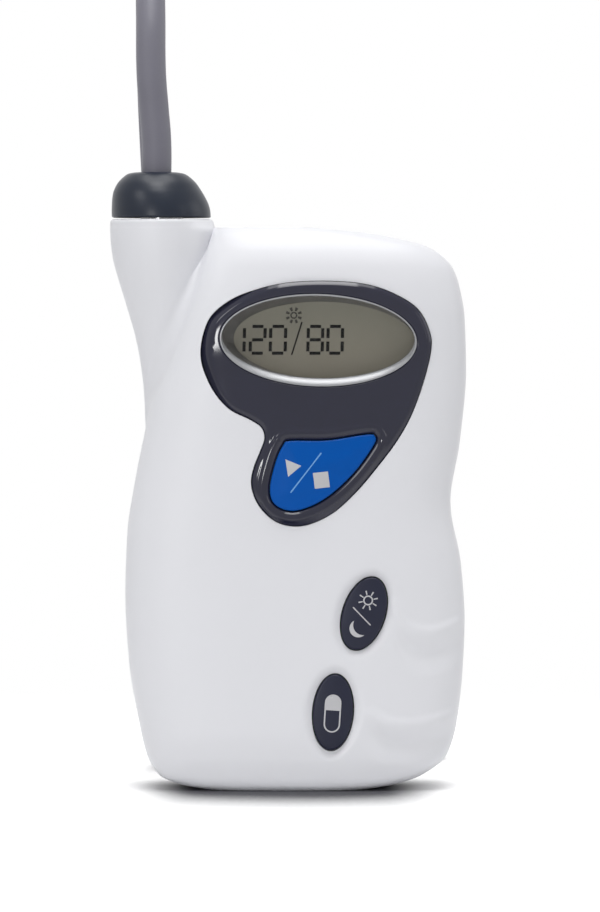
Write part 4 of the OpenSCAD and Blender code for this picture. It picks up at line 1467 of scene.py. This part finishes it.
class BezelFace:
    """Depth of the bezel with its sloping edge and the lip round the start button."""

    # X and Z from which the left end takes over, and the distance that this takes.
    LEFT_END = (-0.002, 0.072)
    LEFT_BLEND = 0.012
    # Width and depth of the slope into the window.
    WINDOW_SLOPE = 0.0004
    WINDOW_DROP = 0.00018
    # Roundness widths from the bend between face and edge at which the edge is straight.
    STRAIGHT = 40

    def __init__(self, display, outer, button):
        self.display = display
        self.from_edge = Distance(outer)
        self.into_button = Distance(button)

    def __call__(self, x, z):
        display = self.display
        edge = self.from_edge(x, z)
        end_x, end_z = self.LEFT_END
        left = smooth((end_x - x) / self.LEFT_BLEND) * smooth((z - end_z) / self.LEFT_BLEND)
        width = display.edge + (display.edge_left - display.edge) * left
        soft = display.edge_round
        past = (width - edge) / soft
        bend = math.log1p(math.exp(past)) if past < self.STRAIGHT else past
        out = -display.slope * soft * bend
        out -= display.turn * left * max(0, 1 - max(edge, 0) / display.turn_width) ** 2
        button = -self.into_button(x, z)
        if button < display.lip_at:
            out += display.lip - (display.lip_at - button) ** 2 / (2 * display.lip_round)
        elif button < display.lip_at + display.lip_width:
            share = (button - display.lip_at) / display.lip_width
            out += display.lip * (1 - 2 * share**2 if share < 0.5 else 2 * (1 - share) ** 2)
        ring, _ = outside_oval(WINDOW, x, z)
        if ring < self.WINDOW_SLOPE:
            out -= self.WINDOW_DROP * (1 - smooth(ring / self.WINDOW_SLOPE))
        return face_depth(display, x) - out


def add_bezel(display, buttons):
    """Dark glossy bezel with its window opening and its button opening."""
    outer = closed_curve(BEZEL_LINE, 16)
    button = moved(closed_curve(BUTTON_LINE, 16), buttons.start_gap)
    rows = [moved(outer, -d) for d in EDGE_ROWS]
    rows += [moved(button, d) for d in LIP_ROWS]
    rows += [oval(WINDOW, d, 200) for d in WINDOW_ROWS]
    plate = Plate(outer, [oval(WINDOW, 0.0, 200), button], rows, gap=0.0008)
    fine_button = moved(closed_curve(BUTTON_LINE, 64), buttons.start_gap)
    face = BezelFace(display, closed_curve(BEZEL_LINE, 64), fine_button)
    shape = plate.solid(face, lambda x, z: face_depth(display, x) + BEZEL_THICK)
    add_piece("bezel_face", shape, "case", "bezel_dark", ["display_bezel"], 45, face)


def behind_face(display, shape, grow, deep, count):
    """Oval ring of points that follows the bezel's curved face at that depth behind it."""
    return [(p.x, face_depth(display, p.x) + deep, p.y) for p in oval(shape, grow, count)]


def add_ring(display):
    """Pale bevelled rim of the window, wide below and narrow above."""
    steps = [
        (WINDOW, 0.0, 0.0014), (WINDOW, 0.0, 0.00005), (WINDOW, -0.00005, -0.00008),
        (WINDOW, -0.00016, -0.00012), (WINDOW, -0.0003, -0.00008), (GLASS, 0.00018, 0.0006),
        (GLASS, 0.00006, 0.00078), (GLASS, 0.0, 0.00095), (GLASS, 0.0, FUNNEL_FRONT),
    ]
    rings = [behind_face(display, *step, 240) for step in steps]
    add_piece("window_rim", loft(rings, joined=True), "case", "ring_pale", ["window_ring"])


def add_lens(display):
    """Clear window, curved as the bezel is."""
    plate = Plate(oval(GLASS, -0.00002, 160), gap=0.0016)
    shape = plate.solid(
        lambda x, z: face_depth(display, x) + LENS_FRONT,
        lambda x, z: face_depth(display, x) + LENS_BACK,
    )
    add_piece("window_lens", shape, "case", "lens_clear", ["display_lens"], 30)


def add_mask_and_painted_shadow(display):
    """Dark funnel between the window and the display, and a flat dark band whose crescent is painted shadow.
    """
    look = moulded("Mask plastic and painted shadow", (0.13, 0.127, 0.12), 0.55, 0.0004, 0.00001, 0.1)
    rings = [behind_face(display, GLASS, grow, FUNNEL_FRONT, 160) for grow in (0.0004, -0.00005)]
    flat = [(MASK_AND_PAINTED_SHADOW, 0.0, 0.0003), (MASK_AND_PAINTED_SHADOW, 0.0, 0.00005), (GLASS, 0.0004, 0.00005)]
    rings += [[(p.x, LCD_FRONT - out, p.y) for p in oval(shape, grow, 160)] for shape, grow, out in flat]
    add_piece("display_mask_and_painted_shadow", loft(rings, joined=True), "case", "plastic_dark", look=look)


# Dark strokes of seven-segment figures: a to f go clockwise from the top, and g is the middle one.
STROKES = {"0": "abcdef", "1": "bc", "2": "abged", "8": "abcdefg"}


def stroke(letter, x, z, wide, tall, thick):
    """Outline of one stroke of a figure whose lower left corner is at x, z."""
    gap = thick * 0.55
    slant = 0.028
    waist = tall / 2
    spans = {
        "a": ((0, tall), (wide, tall)), "g": ((0, waist), (wide, waist)), "d": ((0, 0), (wide, 0)),
        "f": ((0, waist), (0, tall)), "b": ((wide, waist), (wide, tall)),
        "e": ((0, 0), (0, waist)), "c": ((wide, 0), (wide, waist)),
    }
    (x0, z0), (x1, z1) = spans[letter]
    half = thick / 2
    if z0 == z1:
        corners = [(x0 + gap, z0 - half), (x0 + gap, z0 + half), (x1 - gap, z0 + half), (x1 - gap, z0 - half)]
    else:
        corners = [(x0 - half, z0 + gap), (x0 - half, z1 - gap), (x0 + half, z1 - gap), (x0 + half, z0 + gap)]
    return [(x + a + slant * b, z + b) for a, b in corners]


def sun_outlines(centre, inner, outer, reach, rays, thick, turn=0.0):
    """A ring with rays round it: outer outlines, each with its holes."""
    shapes = [(circle(centre, outer, 40), [circle(centre, inner, 40)[::-1]])]
    for i in range(rays):
        a = turn + 2 * math.pi * i / rays
        way = Vector((math.cos(a), math.sin(a)))
        across = Vector((-way.y, way.x))
        foot = thick * 0.35
        start, end = Vector(centre) + way * (outer + foot), Vector(centre) + way * reach
        near, far = across * foot, across * thick / 2
        shapes.append(([start - near, end - far, end + far, start + near], []))
    return shapes


def crescent(centre, radius, bite_centre, bite_radius, steps=28):
    """Outline of a disc with a bite taken out of it."""
    centre, bite_centre = Vector(centre), Vector(bite_centre)
    apart = bite_centre - centre
    along = (apart.length_squared + radius**2 - bite_radius**2) / (2 * apart.length)
    half = math.acos(max(-1, min(1, along / radius)))
    heading = math.atan2(apart.y, apart.x)
    line = []
    for i in range(steps + 1):
        a = heading + half + (2 * math.pi - 2 * half) * i / steps
        line.append(centre + radius * Vector((math.cos(a), math.sin(a))))
    first = math.atan2(*(line[-1] - bite_centre).yx)
    last = math.atan2(*(line[0] - bite_centre).yx)
    if last > first:
        last -= 2 * math.pi
    for i in range(1, steps):
        a = first + (last - first) * i / steps
        line.append(bite_centre + bite_radius * Vector((math.cos(a), math.sin(a))))
    return line


def joined(shapes):
    """Points and faces of several bodies as one."""
    verts = []
    faces = []
    for own_verts, own_faces in shapes:
        faces += [tuple(i + len(verts) for i in f) for f in own_faces]
        verts += own_verts
    return verts, faces


def printed(outlines, front, thick, gap=0.0006):
    """Thin bodies that follow a surface, from outlines with their holes."""
    shapes = []
    for outer, holes in outlines:
        outer = [Vector(p) for p in outer]
        plate = Plate(outer, holes, gap=gap, least=0.00004)
        shapes.append(plate.solid(lambda x, z: front(x, z) - thick, lambda x, z: front(x, z) + thick))
    return joined(shapes)


def add_figures(display):
    """Dark segments of the reading and the pale sun mark above it."""
    ink = segment_ink("Segment ink", display.ink, 0.05)
    faint = segment_ink("Faint ink", (0.075, 0.073, 0.062), 0.1)

    ink_proud, ink_thick = 0.00003, 0.00002

    def flat(x, z):
        return LCD_FRONT - ink_proud

    tall, thick, foot = 0.0052, 0.00062, 0.08515
    outlines = []
    places = [
        ("1", -0.0116, 0.003), ("2", -0.0074, 0.0028), ("0", -0.0035, 0.0029), ("8", 0.0038, 0.0028),
        ("0", 0.00765, 0.0028),
    ]
    for figure, left, wide in places:
        outlines += [(stroke(s, left, foot, wide, tall, thick), []) for s in STROKES[figure]]
    outlines.append((thin_line(((0.0007, 0.0849), (0.00265, 0.0911)), 0.0003), []))
    sun = sun_outlines((0.0011, 0.0925), 0.0004, 0.0007, 0.0016, 8, 0.00055, math.radians(22.5))
    for name, marks, look in (("display_figures", outlines, ink), ("display_sun", sun, faint)):
        add_piece(name, printed(marks, flat, ink_thick), "case", "display_grey", look=look)


# Buttons


def round_edge(buttons, near):
    """Drop of a cap's rounded edge, at that distance from its outline."""
    if near >= buttons.edge:
        return 0.0
    return buttons.edge - math.sqrt(buttons.edge**2 - (buttons.edge - near) ** 2)


def add_start_button(display, buttons):
    """Blue button with its start and stop marks."""
    outline = closed_curve(BUTTON_LINE, 16)
    rows = [moved(outline, -d) for d in START_ROWS]
    plate = Plate(outline, rows=rows, gap=0.0008)
    from_edge = Distance(closed_curve(BUTTON_LINE, 64))

    def front(x, z):
        near = max(from_edge(x, z), NEAREST)
        rise = buttons.crown * smooth(near / START_SLOPE)
        return face_depth(display, x) - START_PROUD + round_edge(buttons, near) - rise

    shape = plate.solid(front, lambda x, z: START_BACK)
    add_piece("start_cap", shape, "start_button", "button_blue", ["start_stop_button"], 50, front)
    marks = [
        ([(-0.00053, 0.06466), (0.00255, 0.0634), (0.0, 0.06127)], []),
        ([(0.00478, 0.06201), (0.0077, 0.06232), (0.00809, 0.05928), (0.00517, 0.05895)], []),
    ]
    line = [(thin_line(((0.00055, 0.0583), (0.00634, 0.06581)), 0.00028), [])]
    pale = symbol_print("Symbol print", buttons.symbol)
    sky = symbol_print("Line print", (0.13, 0.34, 0.66))
    for name, outlines, slot, look in (
        ("start_marks", marks, "plastic_pale", pale),
        ("start_line", line, "button_blue", sky),
    ):
        add_piece(name, printed(outlines, front, buttons.lift), "start_button", slot, look=look)


def oval_front(buttons, shape):
    """Depth of an oval button: a crown with a rounded edge."""

    def front(x, z):
        away, share = outside_oval(shape, x, z)
        drop = round_edge(buttons, max(-away, NEAREST))
        return OVAL_FRONT + drop - buttons.crown * (1 - min(share, 1) ** 2)

    return front


def capsule(centre, half_width, half_height, tilt, steps=12):
    """Outline of a bar with round ends, clockwise from its left."""
    straight = half_height - half_width
    turn = Matrix.Rotation(tilt, 2)
    line = []
    for way in (1, -1):
        for i in range(steps + 1):
            a = math.pi * i / steps
            x, z = -half_width * math.cos(a), straight + half_width * math.sin(a)
            line.append(Vector(centre) + turn @ Vector((way * x, way * z)))
    return line


def day_night_marks():
    """Outlines of a sun and a moon with a line between them."""
    marks = sun_outlines((0.0155, 0.0373), 0.0007, 0.00096, 0.0019, 8, 0.00028, math.radians(12))
    marks.append((thin_line(((0.01265, 0.0359), (0.0159, 0.03255)), 0.00024), []))
    marks.append((crescent((0.0136, 0.03185), 0.00172, (0.01455, 0.0325), 0.00195), []))
    return marks


def event_marks():
    """Outlines of a capsule that is filled above its middle."""
    centre, tilt = (0.0086, 0.01535), math.radians(-3.5)
    half_width, half_height, line = 0.0016, 0.0037, 0.00027
    outer = capsule(centre, half_width, half_height, tilt)
    inner = capsule(centre, half_width - line, half_height - line, tilt)
    turn = Matrix.Rotation(tilt, 2)
    middle = Vector(centre) + turn @ Vector((0, 0.0006))
    upper = [p for p in inner if (turn.inverted() @ (p - middle)).y > 0]
    upper += [middle + turn @ Vector((way * (half_width - line), 0)) for way in (1, -1)]
    return [(outer, [inner[::-1]]), (upper, [])]


def add_oval_buttons(buttons):
    """Day and night button and event button, with their printed symbols."""
    pale = symbol_print("Oval symbol print", buttons.symbol)
    fronts = {body: oval_front(buttons, shape) for body, shape in OVALS.items()}
    for body, shape in OVALS.items():
        rows = [oval(shape, -d, 160) for d in OVAL_ROWS]
        plate = Plate(oval(shape, -0.00003, 160), rows=rows, gap=0.0008)
        solid = plate.solid(fronts[body], lambda x, z: OVAL_BACK)
        add_piece(f"{body}_cap", solid, body, "button_navy", [f"{body}_button"], 50, fronts[body])
    for body, marks in (("day_night", day_night_marks()), ("event", event_marks())):
        symbols = printed(marks, fronts[body], buttons.lift, 0.0004)
        add_piece(f"{body}_marks", symbols, body, "plastic_pale", look=pale)


# What the CAD model already shapes


def soften(node, width):
    """Round the edges of a carried-over part."""
    modifier = frame["nodes"][node].modifiers.new("Edges", "BEVEL")
    modifier.width = width
    modifier.segments = 2
    modifier.limit_method = "ANGLE"
    modifier.angle_limit = math.radians(50)


def dress_nodes():
    """Give every carried-over part the finish of its slot."""
    for part in frame["record"]["subparts"]:
        materials = frame["nodes"][part["node"]].data.materials
        materials.clear()
        materials.append(finish(part["material_slot"]))


# Stage


def look_at(piece, spot):
    """Turn a camera or lamp towards a spot."""
    piece.rotation_euler = (Vector(spot) - piece.location).to_track_quat("-Z", "Y").to_euler()


def add_camera(stage):
    """Camera in front of the monitor and a little above its middle."""
    camera = placed("camera", bpy.data.cameras.new("camera"))
    camera.location = (stage.camera_x, -stage.distance, stage.camera_z)
    look_at(camera, (stage.camera_x, 0, stage.aim_z))
    camera.data.lens = camera.data.sensor_width * stage.distance / stage.field
    camera.data.clip_start = 0.01
    bpy.context.scene.camera = camera


def add_lamp(name, place, size, power):
    """Area lamp that points at the case."""
    lamp = placed(name, bpy.data.lights.new(name, "AREA"))
    lamp.location = place
    lamp.data.shape = "RECTANGLE"
    lamp.data.size, lamp.data.size_y = size
    lamp.data.energy = power
    look_at(lamp, (0, 0, 0.07))


def add_world(stage):
    """White where it is seen, and an even dimmer light on everything."""
    world = bpy.data.worlds.new("studio")
    world.use_nodes = True
    nodes = Nodes(world.node_tree)
    background = nodes.tree.nodes["Background"]
    nodes.feed(background, "Color", (1, 1, 1, 1))
    nodes.feed(background, "Strength", stage.ambient + (1 - stage.ambient) * nodes.seen_directly())
    bpy.context.scene.world = world


def add_floor(stage):
    """Pale floor that keeps the lamps' shadows, adds a painted contact shadow, and is otherwise as bright as
    the background and fades out into it.
    """
    look = Finish("Floor", stage.floor, 0.9)
    look.set("Base Color", look.tint(look.noise(0.4, 2), 0.01))
    away = look.add("ShaderNodeVectorMath", {"operation": "LENGTH"}, {0: look.place}, "Value")
    fade = look.step(away, stage.floor_fade, 2.5 * stage.floor_fade)
    seen = look.seen_directly()
    dark = look.add("ShaderNodeEmission", inputs={"Strength": 0.0})
    glow = look.add("ShaderNodeEmission", inputs={"Strength": stage.floor_glow})
    added = look.add("ShaderNodeMixShader", inputs={0: seen, 1: dark, 2: glow})
    total = look.add("ShaderNodeAddShader", inputs={0: Wire(look, look.shader.outputs[0]), 1: added})
    open_sky = look.add("ShaderNodeAmbientOcclusion", {"samples": 16}, {"Distance": stage.shadow_reach}, "AO")
    closed = 1 - look.step(open_sky, 0.6, 0.99)
    # Painted contact shadow from ambient occlusion: darkest in front of the base, fading out to the sides and
    # in depth.
    middle_y, sideways, in_depth = -0.028, (0.018, 0.037), (0.028, 0.055)
    beside = 1 - look.step(abs(look.axis("X")), *sideways)
    before = 1 - look.step(abs(look.axis("Y") - middle_y), *in_depth)
    painted_contact_shadow = look.add("ShaderNodeBsdfDiffuse", inputs={"Color": (0.1, 0.1, 0.11, 1)})
    painted_shadow_share = closed * beside * before * seen
    shaded = look.add("ShaderNodeMixShader", inputs={0: painted_shadow_share, 1: total, 2: painted_contact_shadow})
    clear = look.add("ShaderNodeBsdfTransparent")
    faded = look.add("ShaderNodeMixShader", inputs={0: fade * seen, 1: shaded, 2: clear})
    look.feed(look.tree.nodes["Material Output"], "Surface", faded)
    size = 10 * stage.floor_fade
    corners = [(x * size, y * size, 0) for x, y in ((-1, -1), (1, -1), (1, 1), (-1, 1))]
    mesh = bpy.data.meshes.new("floor")
    mesh.from_pydata(corners, [], [(0, 1, 2, 3)])
    mesh.materials.append(look.material)
    floor = placed("floor", mesh)


# Operators


class MONITOR_OT_stage(bpy.types.Operator):
    """Set up the camera, lamps, background and floor"""

    bl_idname = "monitor.stage"
    bl_label = "Stage"

    def execute(self, context):
        stage = context.scene.monitor_stage
        context.scene.view_settings.view_transform = "Standard"
        add_camera(stage)
        add_lamp("key", (-0.9, -0.75, 0.8), (0.4, 0.4), stage.key)
        add_lamp("strip", (-0.47, -1.16, 0.156), (0.2, 0.11), stage.strip)
        add_lamp("over", (0, -0.45, 1.05), (0.45, 0.4), stage.over)
        add_lamp("top", (0, 0, 1.1), (0.8, 0.8), stage.top)
        add_lamp("fill", (1.0, -0.7, 0.45), (0.15, 0.5), stage.fill)
        add_lamp("side", (1.1, 0.05, 0.4), (0.6, 0.6), stage.side)
        add_world(stage)
        add_floor(stage)
        return {"FINISHED"}


class MONITOR_OT_hose(bpy.types.Operator):
    """Build the air hose with its hank, strap and cuff connector"""

    bl_idname = "monitor.hose"
    bl_label = "Air Hose"

    def execute(self, context):
        hose = context.scene.monitor_hose
        cord = add_hose(hose)
        extras = [*add_tie(), add_connector()]
        return {"FINISHED"}


class MONITOR_OT_shells(bpy.types.Operator):
    """Build the two case shells and the collar on the neck"""

    bl_idname = "monitor.shells"
    bl_label = "Case Shells"

    def execute(self, context):
        scene = context.scene
        openings = front_cutters(scene.monitor_display, scene.monitor_buttons)
        add_shell("case_front", True, openings, "front_shell")
        add_shell("case_rear", False, rear_cutters(), "rear_shell")
        add_collar(scene.monitor_hose)
        return {"FINISHED"}


class MONITOR_OT_coupling(bpy.types.Operator):
    """Build the dome that locks the hose on the collar"""

    bl_idname = "monitor.coupling"
    bl_label = "Hose Coupling"

    def execute(self, context):
        add_coupling(context.scene.monitor_hose)
        return {"FINISHED"}


class MONITOR_OT_bezel(bpy.types.Operator):
    """Build the dark bezel with its lip round the start button"""

    bl_idname = "monitor.bezel"
    bl_label = "Bezel"

    def execute(self, context):
        add_bezel(context.scene.monitor_display, context.scene.monitor_buttons)
        return {"FINISHED"}


class MONITOR_OT_window(bpy.types.Operator):
    """Build the window ring, the lens, the mask with its painted shadow and the figures on the display"""

    bl_idname = "monitor.window"
    bl_label = "Window and Display"

    def execute(self, context):
        display = context.scene.monitor_display
        add_ring(display)
        add_lens(display)
        add_mask_and_painted_shadow(display)
        add_figures(display)
        return {"FINISHED"}


class MONITOR_OT_buttons(bpy.types.Operator):
    """Build the start button and the two oval buttons with their symbols"""

    bl_idname = "monitor.buttons"
    bl_label = "Buttons"

    def execute(self, context):
        scene = context.scene
        add_start_button(scene.monitor_display, scene.monitor_buttons)
        add_oval_buttons(scene.monitor_buttons)
        return {"FINISHED"}


class MONITOR_OT_carried_parts(bpy.types.Operator):
    """Finish the parts whose shape comes from the model, and round their edges"""

    bl_idname = "monitor.carried_parts"
    bl_label = "Carried Parts"

    def execute(self, context):
        dress_nodes()
        for node, width in (("battery_door", 0.0003), ("data_socket", 0.0002), ("rear_label", 0.0001)):
            soften(node, width)
        return {"FINISHED"}


OPERATORS = [
    MONITOR_OT_stage,
    MONITOR_OT_carried_parts,
    MONITOR_OT_hose,
    MONITOR_OT_shells,
    MONITOR_OT_coupling,
    MONITOR_OT_bezel,
    MONITOR_OT_window,
    MONITOR_OT_buttons,
]


class MONITOR_PT_build(bpy.types.Panel):
    """Buttons that build the monitor piece by piece"""

    bl_idname = "MONITOR_PT_build"
    bl_label = "Blood Pressure Monitor"
    bl_space_type = "VIEW_3D"
    bl_region_type = "UI"
    bl_category = "Monitor"

    def draw(self, context):
        for operator in OPERATORS:
            self.layout.operator(operator.bl_idname)
        for name, group in SETTINGS.items():
            box = self.layout.box()
            for key in group.__annotations__:
                box.prop(getattr(context.scene, name), key)


def register():
    for group in SETTINGS.values():
        bpy.utils.register_class(group)
    for name, group in SETTINGS.items():
        setattr(bpy.types.Scene, name, PointerProperty(type=group))
    for item in (*OPERATORS, MONITOR_PT_build):
        bpy.utils.register_class(item)


def unregister():
    for item in (MONITOR_PT_build, *reversed(OPERATORS)):
        bpy.utils.unregister_class(item)
    for name in SETTINGS:
        delattr(bpy.types.Scene, name)
    for group in SETTINGS.values():
        bpy.utils.unregister_class(group)


def main():
    """Build everything."""
    register()
    for operator in OPERATORS:
        group, name = operator.bl_idname.split(".")
        getattr(getattr(bpy.ops, group), name)()


if __name__ == "__main__":
    main()
